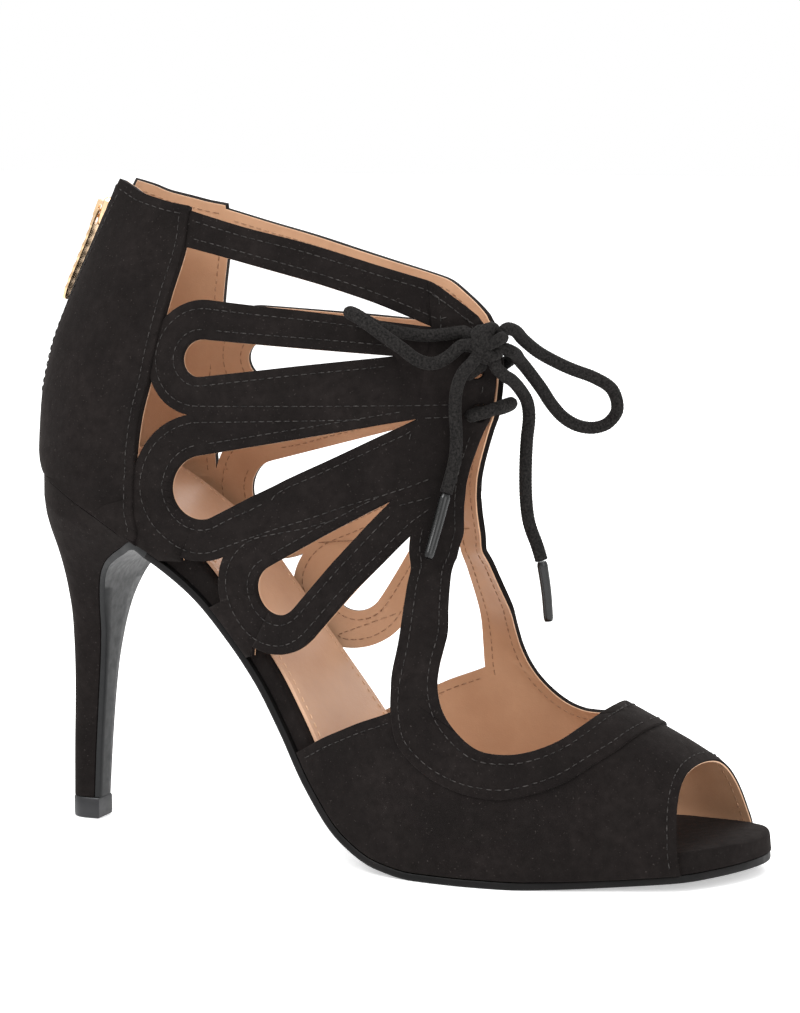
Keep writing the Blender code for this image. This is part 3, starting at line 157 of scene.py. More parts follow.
# The petals: the round end's centre, the hole's radius, the outer radius and the hole's point
Petal = namedtuple("Petal", "station up hole_up radius outer point_station point_up drop point_drop "
                            "front_top front_bottom")
PETALS = [Petal(*row) for row in (
    (2.59, 0.395, 0.395, 0.0050, 0.0153, 1.93, 0.800, 0.5, 0.1, (1.13, 0.872), (3.30, 0.860)),
    (6.90, 0.430, 0.435, 0.0085, 0.0196, 3.40, 0.867, 0.9, 0.2, (3.10, 0.880), (7.00, 0.885)),
    (12.10, 0.315, 0.335, 0.0068, 0.0172, 7.53, 0.847, 1.0, 0.3, (6.80, 0.885), (9.68, 0.885)),
)]
FEET = (
    ((9.80, -0.030), (10.95, -0.030), (10.98, 0.085), (9.40, 0.300), (8.00, 0.300)),
    ((12.40, -0.030), (13.55, -0.030), (13.55, 0.040), (12.60, 0.250), (12.10, 0.250)),
)

# The heel, from under the seat down to the tip: its flat front and round back in side view, as
# shares along and lifts, and its half width. The front corner of its top is at HEEL_CORNER.
HEEL_CORNER = 10.2
HeelRow = namedtuple("HeelRow", "front front_lift back back_lift half")
HEEL = [HeelRow(*row) for row in (
    (0.1626, 0.788, 0.0195, 0.932, 0.3236),
    (0.1436, 0.764, 0.0199, 0.892, 0.2889),
    (0.1270, 0.735, 0.0237, 0.842, 0.2500),
    (0.1142, 0.696, 0.0310, 0.782, 0.2083),
    (0.1062, 0.651, 0.0365, 0.722, 0.1708),
    (0.1000, 0.597, 0.0405, 0.652, 0.1333),
    (0.0948, 0.517, 0.0440, 0.547, 0.0944),
    (0.0886, 0.407, 0.0445, 0.412, 0.0708),
    (0.0839, 0.297, 0.0435, 0.297, 0.0639),
    (0.0796, 0.177, 0.0418, 0.177, 0.0604),
    (0.0758, 0.040, 0.0408, 0.040, 0.0569),
)]
FRONT_SHARE = 0.94
D_SHAPE = ((0.00, 0.0), (0.03, 0.34), (0.10, 0.60), (0.22, 0.82), (0.36, 0.95), (0.52, 1.00),
           (0.72, 1.00), (0.88, 0.98), (1.00, FRONT_SHARE))


def unit(v):
    return v / np.linalg.norm(v)


def run_length(points):
    """Distance run along a line of points, at each point."""
    return np.concatenate([[0.0], np.cumsum(np.linalg.norm(np.diff(points, axis=0), axis=1))])


def eased(r, h, y0, m0, y1, m1):
    """A share r of the way over a step h, between two values with their slopes."""
    return ((2 * r**3 - 3 * r**2 + 1) * y0 + (r**3 - 2 * r**2 + r) * h * m0
            + (3 * r**2 - 2 * r**3) * y1 + (r**3 - r**2) * h * m1)


def slopes(x, y):
    """Slopes that keep a curve through the rows free of overshoot."""
    step = np.diff(x)[:, None]
    chord = np.diff(y, axis=0) / step
    m = np.zeros_like(y)
    a, b = chord[:-1], chord[1:]
    both = a * b > 0
    total = np.where(both, a + b, 1.0)
    m[1:-1] = np.where(both, 2 * a * b / total, 0.0)
    m[0] = chord[0]
    m[-1] = chord[-1]
    return m


class Curve:
    """A smooth curve through rows of values."""

    def __init__(self, x, y):
        self.x = np.asarray(x, float)
        y = np.asarray(y, float)
        self.single = y.ndim == 1
        self.y = y[:, None] if self.single else y
        self.m = slopes(self.x, self.y)

    def __call__(self, t):
        t = min(max(t, self.x[0]), self.x[-1])
        i = min(int(np.searchsorted(self.x, t, side="right")) - 1, len(self.x) - 2)
        h = self.x[i + 1] - self.x[i]
        r = (t - self.x[i]) / h
        out = eased(r, h, self.y[i], self.m[i], self.y[i + 1], self.m[i + 1])
        return float(out[0]) if self.single else out


def place_x(share):
    return BACK_X + share * LENGTH


def place_z(lift, up=0.0):
    return OUTSOLE + GAP + lift * HEEL_HEIGHT + up * SHAFT_HEIGHT


def section_values(row):
    squares = [(w * BALL_WIDTH) ** 2 for w in row[6:]]
    return [place_x(row.bottom_x), place_z(row.bottom_lift, row.bottom_up),
            place_x(row.top_x), place_z(row.top_lift, row.top_up)] + squares


LAST = Curve(range(len(SECTIONS)), [section_values(row) for row in SECTIONS])


def half_width(values, up):
    """Half width at a share of the way up a section, with round ends where it closes."""
    return math.sqrt(max(Curve(WIDTH_LEVELS, np.append(values[4:], 0.0))(up), 0.0))


def skew(station):
    return TOE_SKEW * min(max((station - SKEW_START) / (LAST_SECTION - SKEW_START), 0.0), 1.0)


def last_point(station, up, side):
    """A point of the last's surface; side is -1 for the outer and +1 for the inner side."""
    v = LAST(station)
    y = side * half_width(v, up)
    x = v[0] + (v[2] - v[0]) * up + skew(station) * y
    return np.array((x, y, v[1] + (v[3] - v[1]) * up))


def sole_normal(station):
    """The direction from the sole up into the shoe, in the XZ plane."""
    a = sole_line(station - 0.2)
    b = sole_line(station + 0.2)
    d = unit(b - a)
    return np.array((-d[1], d[0]))


def surface_normal(station, up, side):
    """The outward normal, flat against the sole at the sole edge and straight at the seams."""
    e_up, e_st = 1e-3, 0.02
    u0, u1 = max(up - e_up, 1e-5), min(up + e_up, 1 - 1e-5)
    s0, s1 = max(station - e_st, 0.0), min(station + e_st, LAST_SECTION)
    mid = min(max(up, 1e-5), 1 - 1e-5)
    along = last_point(s1, mid, side) - last_point(s0, mid, side)
    across = last_point(station, u1, side) - last_point(station, u0, side)
    n = np.cross(across, along)
    n /= np.linalg.norm(n)
    if n[1] * side < 0:
        n = -n
    if (up < 1e-6 and station <= SEAT) or up > 1 - 1e-6:
        end = round(up)
        d = side_place(s1, end) - side_place(s0, end)
        n = unit(np.array((-d[1], 0.0, d[0])))
        reach = side_place(station, end) - side_place(station, 1 - end)
        if n[0] * reach[0] + n[2] * reach[1] < 0:
            n = -n
    flat = min(max((station - SEAT + 0.6) / 0.6, 0.0), 1.0) * min(max(1 - up / 0.06, 0.0), 1.0)
    if flat > 0:
        m = sole_normal(station)
        m = np.array((m[0], 0.0, m[1]))
        n = n - flat * np.dot(n, m) * m
        n /= np.linalg.norm(n)
    return n


def girth(up):
    """Share of the way up as an angle round the section, which stays even at round ends."""
    if up < 0:
        return -2 * math.sqrt(-up)
    if up > 1:
        return math.pi + 2 * math.sqrt(up - 1)
    return math.acos(1 - 2 * up)


def share_up(angle):
    return (1 - math.cos(min(max(angle, 0.0), math.pi))) / 2


def side_place(station, up):
    """Side view of a place on the last."""
    v = LAST(station)
    return np.array((v[0] + (v[2] - v[0]) * up, v[1] + (v[3] - v[1]) * up))


def locate(x, z):
    """Station and share up of a point in side view."""
    def above(station):
        v = LAST(station)
        return (v[2] - v[0]) * (z - v[1]) - (v[3] - v[1]) * (x - v[0])

    stations = np.linspace(0, LAST_SECTION, 97)
    signs = [above(s) for s in stations]
    k = next((i for i in range(96) if signs[i] * signs[i + 1] <= 0), None)
    if k is None:
        k = 0 if abs(signs[0]) < abs(signs[-1]) else 95
    low, high = stations[k], stations[k + 1]
    value = signs[k]
    for _ in range(24):
        mid = (low + high) / 2
        here = above(mid)
        if value * here <= 0:
            high = mid
        else:
            low, value = mid, here
    v = LAST((low + high) / 2)
    d = v[2:4] - v[0:2]
    return (low + high) / 2, float(((x - v[0]) * d[0] + (z - v[1]) * d[1]) / d.dot(d))


# The sole's plan: a line along it and an outline that can be inset

SOLE_LINE = Curve(range(SEAT, TOE_END + 1),
                  [(place_x(r.bottom_x), place_z(r.bottom_lift)) for r in SECTIONS[SEAT:]]
                  + [(place_x(r.along), place_z(r.lift)) for r in TOE_ROWS])
SOLE_HALF = Curve(range(SEAT, TOE_END + 1),
                  [(r.sole * BALL_WIDTH) ** 2 for r in SECTIONS[SEAT:]]
                  + [(r.half * BALL_WIDTH) ** 2 for r in TOE_ROWS])
SOLE_SWING = Curve((SEAT, LAST_SECTION) + tuple(range(LAST_SECTION + 1, TOE_END + 1)),
                   [0.0, 0.0] + [r.swing * BALL_WIDTH for r in TOE_ROWS])


def sole_line(station):
    if station < SEAT:
        d = (SOLE_LINE(SEAT + 0.4) - SOLE_LINE(SEAT)) / 0.4
        return SOLE_LINE(SEAT) + d * (station - SEAT)
    if station > TOE_END:
        d = (SOLE_LINE(TOE_END) - SOLE_LINE(TOE_END - 0.4)) / 0.4
        return SOLE_LINE(TOE_END) + d * (station - TOE_END)
    return SOLE_LINE(station)


def sole_point(station, y, depth):
    """A point on the sole's line, y to the side and depth above it."""
    p = sole_line(station) + depth * sole_normal(station)
    y = y + SOLE_SWING(station)
    return np.array((p[0] + skew(station) * y, y, p[1]))


PLAN_STATIONS = np.concatenate([np.linspace(SEAT, SEAT + 1, 9),
                                np.linspace(SEAT + 1.25, LAST_SECTION, 72),
                                np.linspace(LAST_SECTION + 0.2, TOE_END, 20)])


def plan():
    """Distance along the sole and half width, for each plan station."""
    q = run_length([sole_line(s) for s in PLAN_STATIONS])
    w = np.array([math.sqrt(max(SOLE_HALF(s), 0.0)) for s in PLAN_STATIONS])
    return q, w


def inset_plan(inset):
    """The plan's outline moved inward: stations and half widths from heel to toe."""
    q, w = plan()
    dq = np.gradient(q)
    dw = np.gradient(w)
    dw[0], dq[0] = 1.0, 0.0
    dw[-1], dq[-1] = -1.0, 0.0
    length = np.hypot(dq, dw)
    q_in = q + inset * dw / length
    w_in = w - inset * dq / length
    w_in[0] = 0.0
    stations = np.interp(q_in, q, PLAN_STATIONS)
    over = q_in > q[-1]
    stations = np.where(over, TOE_END + (q_in - q[-1]) / (q[-1] - q[-2])
                        * (PLAN_STATIONS[-1] - PLAN_STATIONS[-2]), stations)
    under = q_in < 0
    stations = np.where(under, SEAT + q_in / (q[1] - q[0])
                        * (PLAN_STATIONS[1] - PLAN_STATIONS[0]), stations)
    keep = [i for i in range(len(w_in)) if w_in[i] >= 0]
    stations = stations[keep]
    w_in = w_in[keep]
    rising = [0]
    for i in range(1, len(stations)):
        if stations[i] > stations[rising[-1]] + 1e-4:
            rising.append(i)
    return stations[rising], w_in[rising]


def half_at(station, outline):
    return float(np.interp(station, outline[0], outline[1]))


def widths_at(values, up):
    """Half widths at shares of the way up, for a row of section values each."""
    squares = np.column_stack([values[:, 4:], np.zeros(len(values))]).T
    levels = np.array(WIDTH_LEVELS)
    m = slopes(levels, squares)
    i = np.clip(np.searchsorted(levels, up, side="right") - 1, 0, len(levels) - 2)
    n = np.arange(len(up))
    h = levels[i + 1] - levels[i]
    r = (up - levels[i]) / h
    out = eased(r, h, squares[i, n], m[i, n], squares[i + 1, n], m[i + 1, n])
    return np.sqrt(np.maximum(out, 0.0))


def sections_at(stations):
    t = np.clip(stations, LAST.x[0], LAST.x[-1])
    i = np.clip(np.searchsorted(LAST.x, t, side="right") - 1, 0, len(LAST.x) - 2)
    h = (LAST.x[i + 1] - LAST.x[i])[:, None]
    r = (t - LAST.x[i])[:, None] / h
    return eased(r, h, LAST.y[i], LAST.m[i], LAST.y[i + 1], LAST.m[i + 1])


def last_points(stations, up, side):
    """Many points of the last at once."""
    v = sections_at(stations)
    up = np.clip(up, 0.0, 1.0)
    y = side * widths_at(v, up)
    y[(up > 1 - 1e-9) | ((up < 1e-9) & (stations <= SEAT))] = 0.0
    turn = TOE_SKEW * np.clip((stations - SKEW_START) / (LAST_SECTION - SKEW_START), 0.0, 1.0)
    x = v[:, 0] + (v[:, 2] - v[:, 0]) * up + turn * y
    return np.column_stack([x, y, v[:, 1] + (v[:, 3] - v[:, 1]) * up])


def last_normals(stations, up, side):
    """Many outward normals at once; the places near the sole and the seams one by one."""
    mid = np.clip(up, 1e-5, 1 - 1e-5)
    u0, u1 = np.maximum(up - 1e-3, 1e-5), np.minimum(up + 1e-3, 1 - 1e-5)
    s0, s1 = np.maximum(stations - 0.02, 0.0), np.minimum(stations + 0.02, LAST_SECTION)
    along = last_points(s1, mid, side) - last_points(s0, mid, side)
    across = last_points(stations, u1, side) - last_points(stations, u0, side)
    n = np.cross(across, along)
    n /= np.maximum(np.linalg.norm(n, axis=1), 1e-12)[:, None]
    v = sections_at(stations)
    middle = np.column_stack([(v[:, 0] + v[:, 2]) / 2, np.zeros(len(v)), (v[:, 1] + v[:, 3]) / 2])
    n[(n * (last_points(stations, mid, side) - middle)).sum(1) < 0] *= -1
    special = ((up < 1e-6) & (stations <= SEAT)) | (up > 1 - 1e-6)
    special |= (up < 0.06) & (stations > SEAT - 0.6)
    for k in np.nonzero(special)[0]:
        n[k] = surface_normal(float(stations[k]), float(up[k]), side)
    return n


# Mesh helpers

def finish(name, verts, faces, material, smooth_angle=35):
    """An object with outward faces, joined from points and faces."""
    mesh = bpy.data.meshes.new(name)
    bm = bmesh.new()
    made = [bm.verts.new(Vector([float(c) for c in v])) for v in verts]
    for face in faces:
        corners = []
        for i in face:
            if not corners or corners[-1] is not made[i]:
                corners.append(made[i])
        if len(set(corners)) >= 3:
            bm.faces.new(corners)
    bmesh.ops.remove_doubles(bm, verts=bm.verts, dist=2e-6)
    loose = [v for v in bm.verts if not v.link_faces]
    bmesh.ops.delete(bm, geom=loose, context="VERTS")
    bmesh.ops.recalc_face_normals(bm, faces=bm.faces)
    bm.to_mesh(mesh)
    bm.free()
    mesh.shade_smooth()
    mesh.set_sharp_from_angle(angle=math.radians(smooth_angle))
    mesh.materials.append(material)
    obj = bpy.data.objects.new(name, mesh)
    bpy.context.collection.objects.link(obj)
    return obj


# Node materials

def node(tree, kind, links=None, **settings):
    made = tree.nodes.new(kind)
    for key, value in settings.items():
        setattr(made, key, value)
    for key, value in (links or {}).items():
        if isinstance(value, bpy.types.NodeSocket):
            tree.links.new(value, made.inputs[key])
        else:
            made.inputs[key].default_value = value
    return made


def shader(name, roughness, **sockets):
    mat = bpy.data.materials.new(name)
    mat.use_nodes = True
    tree = mat.node_tree
    base = tree.nodes["Principled BSDF"]
    base.inputs["Roughness"].default_value = roughness
    for key, value in sockets.items():
        base.inputs[key.replace("_", " ")].default_value = value
    place = tree.nodes.new("ShaderNodeTexCoord").outputs["Object"]
    return mat, tree, base, place


def noise(tree, place, scale, detail=3.0, roughness=0.55):
    return node(tree, "ShaderNodeTexNoise", {"Vector": place, "Scale": scale, "Detail": detail,
                                             "Roughness": roughness}).outputs["Fac"]


def ramp(tree, fac, *stops):
    made = node(tree, "ShaderNodeValToRGB", {"Fac": fac})
    parts = made.color_ramp.elements
    while len(parts) < len(stops):
        parts.new(0.5)
    for part, (where, colour) in zip(parts, stops):
        part.position = where
        part.color = (*colour, 1.0)
    return made.outputs["Color"]


def spread(tree, fac, low, high):
    return node(tree, "ShaderNodeMapRange", {"Value": fac, "To Min": low, "To Max": high,
                                             "From Min": 0.3, "From Max": 0.7}).outputs["Result"]


def bump(tree, base, height, strength, distance):
    made = node(tree, "ShaderNodeBump", {"Height": height, "Strength": strength,
                                         "Distance": distance})
    tree.links.new(made.outputs["Normal"], base.inputs["Normal"])


def mixed(tree, fac, a, b):
    made = node(tree, "ShaderNodeMix", data_type="RGBA")
    for key, value in ((0, fac), (6, a), (7, b)):
        if isinstance(value, bpy.types.NodeSocket):
            tree.links.new(value, made.inputs[key])
        else:
            made.inputs[key].default_value = value if key == 0 else (*value, 1.0)
    return made.outputs[2]


def suede(name, dark, light, speck):
    """Brushed microsuede: cloudy nap, short fibres and a few pale specks."""
    mat, tree, base, place = shader(name, 0.9, Specular_IOR_Level=0.05, Sheen_Weight=0.05,
                                    Sheen_Roughness=0.45, Sheen_Tint=(0.55, 0.47, 0.44, 1.0))
    cloud = noise(tree, place, 60, 4.0)
    nap = noise(tree, place, 420, 4.0)
    fibre = noise(tree, place, 2600, 2.0, 0.7)
    colour = ramp(tree, cloud, (0.30, dark), (0.70, light))
    colour = mixed(tree, spread(tree, nap, 0.0, 0.75), colour, dark)
    colour = mixed(tree, spread(tree, fibre, 0.0, 0.35), colour, light)
    flecks = ramp(tree, noise(tree, place, 1700, 1.0), (0.69, (0, 0, 0)), (0.80, (1, 1, 1)))
    colour = mixed(tree, flecks, colour, speck)
    tree.links.new(colour, base.inputs["Base Color"])
    tree.links.new(spread(tree, nap, 0.82, 0.98), base.inputs["Roughness"])
    both = node(tree, "ShaderNodeMath", {0: fibre, 1: nap}, operation="ADD").outputs[0]
    bump(tree, base, both, 0.35, 0.0002)
    return mat


def leather(name, dark, light, rough=0.5):
    """Soft lining leather: fine grain in cells over slow colour changes."""
    mat, tree, base, place = shader(name, rough, Specular_IOR_Level=0.35, Coat_Weight=0.04,
                                    Coat_Roughness=0.4)
    cloud = noise(tree, place, 45, 4.0)
    colour = ramp(tree, cloud, (0.32, dark), (0.68, light))
    grain = node(tree, "ShaderNodeTexVoronoi", {"Vector": place, "Scale": 1500.0},
                 feature="DISTANCE_TO_EDGE").outputs["Distance"]
    pores = noise(tree, place, 900, 3.0)
    colour = mixed(tree, spread(tree, pores, 0.25, 0.0), colour, dark)
    tree.links.new(colour, base.inputs["Base Color"])
    tree.links.new(spread(tree, pores, rough - 0.08, rough + 0.1), base.inputs["Roughness"])
    both = node(tree, "ShaderNodeMath", {0: grain, 1: pores}, operation="ADD").outputs[0]
    bump(tree, base, both, 0.25, 0.00015)
    return mat


def moulded(name, dark, light, rough, grain=0.15, shine=0.35):
    """Moulded or painted surface with slight mottling and fine grain."""
    mat, tree, base, place = shader(name, rough, Specular_IOR_Level=shine)
    cloud = noise(tree, place, 90, 3.0)
    tree.links.new(ramp(tree, cloud, (0.3, dark), (0.7, light)), base.inputs["Base Color"])
    tree.links.new(spread(tree, noise(tree, place, 500, 4.0), rough - 0.06, rough + 0.1),
                   base.inputs["Roughness"])
    bump(tree, base, noise(tree, place, 2200, 2.0), grain, 0.0001)
    return mat


def metal(name):
    """Plated metal with fine rubbing marks."""
    mat, tree, base, place = shader(name, 0.25, Metallic=1.0)
    cloud = noise(tree, place, 300, 3.0)
    tree.links.new(ramp(tree, cloud, (0.3, (0.66, 0.44, 0.25)), (0.7, (0.76, 0.54, 0.33))),
                   base.inputs["Base Color"])
    rub = noise(tree, place, 1500, 4.0)
    tree.links.new(spread(tree, rub, 0.16, 0.34), base.inputs["Roughness"])
    bump(tree, base, rub, 0.02, 0.0001)
    return mat


def woven(name, dark, light, scale, rough=0.85):
    """Yarn: fine fibres with paler tops."""
    mat, tree, base, place = shader(name, rough, Specular_IOR_Level=0.08, Sheen_Weight=0.04,
                                    Sheen_Roughness=0.5, Sheen_Tint=(0.5, 0.47, 0.45, 1.0))
    fibre = noise(tree, place, scale, 3.0, 0.7)
    tree.links.new(ramp(tree, fibre, (0.35, dark), (0.72, light)), base.inputs["Base Color"])
    tree.links.new(spread(tree, fibre, rough, rough + 0.1), base.inputs["Roughness"])
    bump(tree, base, fibre, 0.4, 0.0002)
    return mat


MATS = {
    "suede": suede("black_suede", (0.0055, 0.0046, 0.0044), (0.0135, 0.0108, 0.0102),
                   (0.034, 0.029, 0.027)),
    "lining": leather("tan_lining", (0.51, 0.30, 0.18), (0.62, 0.385, 0.24)),
    "sock": leather("tan_sock", (0.50, 0.30, 0.195), (0.60, 0.38, 0.25), 0.42),
    "sole": moulded("black_sole", (0.004, 0.004, 0.004), (0.008, 0.007, 0.007), 0.45, 0.15, 0.12),
    "breast": moulded("grey_breast", (0.007, 0.0075, 0.008), (0.011, 0.0115, 0.012), 0.42,
                      0.05, 0.22),
    "plastic": moulded("black_plastic", (0.010, 0.010, 0.011), (0.018, 0.018, 0.020), 0.36),
    "aglet": moulded("glossy_tip", (0.004, 0.004, 0.004), (0.008, 0.008, 0.008), 0.22,
                     0.02, 0.40),
    "gold": metal("gold_metal"),
    "tape": woven("zip_cloth", (0.010, 0.010, 0.010), (0.030, 0.029, 0.028), 3000.0),
    "cord": woven("lace_yarn", (0.0028, 0.0026, 0.0026), (0.0260, 0.0240, 0.0230), 1900.0),
    "dark_thread": woven("dark_thread", (0.006, 0.0055, 0.0055), (0.060, 0.055, 0.052), 1100.0,
                         0.6),
    "lining_thread": woven("lining_thread", (0.22, 0.12, 0.07), (0.52, 0.33, 0.21), 1400.0, 0.6),
    "tan_thread": woven("tan_thread", (0.62, 0.40, 0.25), (0.86, 0.64, 0.46), 1800.0, 0.6),
}


def shown(name, points, faces, mat, slot, nodes=(), smooth_angle=35, body="shoe"):
    """A piece that rides on a body and takes its finish from MATS; its slot is not used."""
    obj = finish(name, points, faces, MATS[mat], smooth_angle)
    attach(obj, body)
    if nodes:
        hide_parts(*nodes)
    return obj


def loft_faces(rings, base=0):
    """Faces through rings of equal length, with flat caps; base is the first point's number."""
    size = len(rings[0])
    faces = []
    for r in range(len(rings) - 1):
        for k in range(size):
            a = base + r * size + k
            b = base + r * size + (k + 1) % size
            faces.append((a, b, b + size, a + size))
    faces.append(tuple(base + k for k in range(size)))
    faces.append(tuple(base + (len(rings) - 1) * size + k for k in range(size)))
    return faces


def add_rings(rings, points, faces):
    """Adds one closed form through rings to a piece's points and faces."""
    base = len(points)
    points.extend(p for ring in rings for p in ring)
    faces.extend(loft_faces(rings, base))


def shown_rings(name, rings, *look):
    points, faces = [], []
    add_rings(rings, points, faces)
    return shown(name, points, faces, *look)


# The upper's pattern, as the solid's but with smoother lines

GIRTH_SCALE = 4.1
LINE_STEP = 0.16
GRID_STATION = 0.30
GRID_GIRTH = math.pi / 34
CLEAR = 0.11
CLEAR_RIM = 0.012
RIM_ROWS = (0.5, 1.1)  # rows of points beside each edge, in radii of its rounding
ARC_STEPS = 46
EDGE_STEPS = 16
HOLE_ARC_STEPS = 34
SLIT_ROWS = 20
BEYOND = 1.03  # a share of the way up that lies past the ridge
MM = 0.001


def flat(station, up):
    """A place in the flat pattern."""
    return (station, girth(up) * GIRTH_SCALE)


def smooth_line(rows):
    points = np.array([flat(s, u) for s, u in rows])
    length = run_length(points)
    curve = Curve(length, points)
    out = []
    for a, b in zip(length, length[1:]):
        n = max(1, round((b - a) / LINE_STEP))
        out += [tuple(curve(a + (b - a) * k / n)) for k in range(n)]
    out.append(tuple(points[-1]))
    return out


def from_side_view(points):
    return [flat(*locate(x, z)) for x, z in points]


def arc_points(centre, radius, start, end, steps):
    return [centre + radius * np.array((math.cos(a), math.sin(a)))
            for a in np.linspace(start, end, steps)]


def tangent_angles(centre, radius, target):
    d = target - centre
    heading = math.atan2(d[1], d[0])
    open_angle = math.acos(min(radius / np.linalg.norm(d), 1.0))
    return heading + open_angle, heading - open_angle


def petal_places(petal, side):
    drop = MEDIAL_DROP if side > 0 else 0.0
    outer = side_place(petal.station, petal.up) - np.array((0.0, petal.drop * drop))
    hole = side_place(petal.station, petal.hole_up) - np.array((0.0, petal.drop * drop))
    point = side_place(petal.point_station, petal.point_up)
    return outer, hole, point - np.array((0.0, petal.point_drop * drop))


def petal_outline(petal, side):
    centre, _, _ = petal_places(petal, side)
    top = side_place(*petal.front_top)
    bottom = side_place(*petal.front_bottom)
    start = tangent_angles(centre, petal.outer, top)[0]
    end = tangent_angles(centre, petal.outer, bottom)[1] + 2 * math.pi
    arc = arc_points(centre, petal.outer, start, end, ARC_STEPS)
    edge = [bottom + (arc[-1] - bottom) * t for t in np.linspace(0.92, 0.0, EDGE_STEPS)]
    back = [top + (arc[0] - top) * t for t in np.linspace(0.0, 0.92, EDGE_STEPS)]
    return from_side_view(arc + edge + back)


def petal_hole(petal, side):
    _, centre, point = petal_places(petal, side)
    start, end = tangent_angles(centre, petal.radius, point)
    arc = arc_points(centre, petal.radius, start, end + 2 * math.pi, HOLE_ARC_STEPS)
    lower = [point + (arc[-1] - point) * t for t in np.linspace(0.94, 0.0, 18)]
    upper = [point + (arc[0] - point) * t for t in np.linspace(0.06, 0.94, 17)]
    return from_side_view(arc + lower + upper)


def lace_hole(place):
    station, up = place
    centre = last_point(station, up, 1)
    along = (last_point(station + 0.1, up, 1) - centre) / 0.1
    across = (last_point(station, share_up(girth(up) - 0.05), 1) - centre) / 0.05
    out = []
    for k in range(HOLE_STEPS):
        a = 2 * math.pi * k / HOLE_STEPS
        dx, dy = LACE_HOLE * math.cos(a), LACE_HOLE * math.sin(a)
        out.append((station + dx / np.linalg.norm(along),
                    (girth(up) - dy / np.linalg.norm(across)) * GIRTH_SCALE))
    return out


def slit_outline():
    rows = []
    for station in np.linspace(0.0, ZIP_END, SLIT_ROWS):
        v = LAST(station)
        low, high = 0.0, 0.3
        for _ in range(30):
            mid = (low + high) / 2
            low, high = (mid, high) if half_width(v, mid) < ZIP_SLIT / 2 else (low, mid)
        rows.append((station, low))
    return ([flat(-0.3, -0.02), flat(-0.3, rows[0][1])] + [flat(s, u) for s, u in rows]
            + [flat(ZIP_END, -0.02)])


def regions(side):
    """Outlines of the pattern's pieces with their kind of wall, and of what is cut out."""
    beyond = [flat(s, BEYOND) for s in (16.0, 10.0, 4.0, 0.65)]
    counter = (smooth_line(COUNTER_TOP) + smooth_line(COUNTER_FRONT)[1:]
               + [flat(SEAT, -0.03), flat(3.0, -0.02)])
    band = ([flat(0.15, 0.865)] + smooth_line(FACING_REAR) + smooth_line(BAND_EDGE)[1:] + beyond
            + smooth_line(STRAP_UPPER[4:])[:0:-1])
    strap = (smooth_line(STRAP_UPPER)[:-1] + [flat(0.65, 0.974), flat(1.13, 0.890)]
             + smooth_line(STRAP_LOWER)[::-1])
    vamp = (smooth_line(VAMP_REAR[::-1]) + [flat(15.9, 0.62), flat(19.0, 0.75)]
            + [flat(21.5, BEYOND), flat(LAST_SECTION + 0.3, BEYOND),
               flat(LAST_SECTION + 0.3, -0.03)])
    solids = [("counter", counter), ("band", band), ("band", strap), ("vamp", vamp)]
    solids += [("band", petal_outline(p, side)) for p in PETALS]
    solids += [("band", [flat(s, u) for s, u in foot]) for foot in FEET]
    cuts = [petal_hole(p, side) for p in PETALS]
    cuts += [lace_hole(place) for place in LACE_HOLES]
    cuts.append(smooth_line(THROAT) + [flat(12.0, BEYOND), flat(4.0, BEYOND)])
    cuts.append(slit_outline())
    return solids, cuts


def domain_outline():
    """The edge of the whole pattern of one side."""
    stations = np.arange(0.0, LAST_SECTION + 0.01, 0.25)
    sole = sorted(set(stations) | {SEAT + k for k in (0.08, 0.16, 0.35)})
    up = np.linspace(0, 1, 31)
    toe = [flat(LAST_SECTION, share_up(math.pi * u)) for u in up[1:-1]]
    return [flat(s, 0.0) for s in sole] + toe + [flat(s, 1.0) for s in stations[::-1]]


def turned(outline):
    """An outline that runs counterclockwise."""
    ring = np.array(outline)
    after = np.roll(ring, -1, axis=0)
    area = float((ring[:, 0] * after[:, 1] - after[:, 0] * ring[:, 1]).sum())
    return list(outline) if area > 0 else list(outline)[::-1]


def holds(outline, places):
    """Which places lie inside an outline."""
    ring = np.array(outline)
    after = np.roll(ring, -1, axis=0)
    x, y = places[:, 0][:, None], places[:, 1][:, None]
    rise = np.where(after[:, 1] == ring[:, 1], 1e-12, after[:, 1] - ring[:, 1])
    crosses = (ring[:, 1] > y) != (after[:, 1] > y)
    at = ring[:, 0] + (y - ring[:, 1]) / rise * (after[:, 0] - ring[:, 0])
    return (crosses & (x < at)).sum(axis=1) % 2 == 1


def on_last(places):
    """Stations and shares of the way up for places in the flat pattern."""
    angle = np.clip(places[:, 1] / GIRTH_SCALE, 0.0, math.pi)
    return np.clip(places[:, 0], 0.0, LAST_SECTION), (1 - np.cos(angle)) / 2


def surface(places, side):
    return last_points(*on_last(places), side)


def sideways(places, tangents, side):
    """Steps in the pattern, to the left of a line, that are a metre long on the shoe."""
    e = 0.01
    here = surface(places, side)
    along = np.where(places[:, 0] > LAST_SECTION - 2 * e, -e, e)
    ahead = np.column_stack([along, np.zeros(len(places))])
    du = (surface(places + ahead, side) - here) / along[:, None]
    inward = np.where(places[:, 1] > GIRTH_SCALE * math.pi - 2 * e, -e, e)
    step = np.column_stack([np.zeros(len(places)), inward])
    dv = (surface(places + step, side) - here) / inward[:, None]
    a, b, c = (du * du).sum(1), (du * dv).sum(1), (dv * dv).sum(1)
    wx = a * tangents[:, 0] + b * tangents[:, 1]
    wy = b * tangents[:, 0] + c * tangents[:, 1]
    d = np.column_stack([-wy, wx])
    left = np.column_stack([-tangents[:, 1], tangents[:, 0]])
    d[(d * left).sum(1) < 0] *= -1
    size = np.sqrt(np.maximum(a * d[:, 0]**2 + 2 * b * d[:, 0] * d[:, 1] + c * d[:, 1]**2, 1e-18))
    return d / size[:, None]


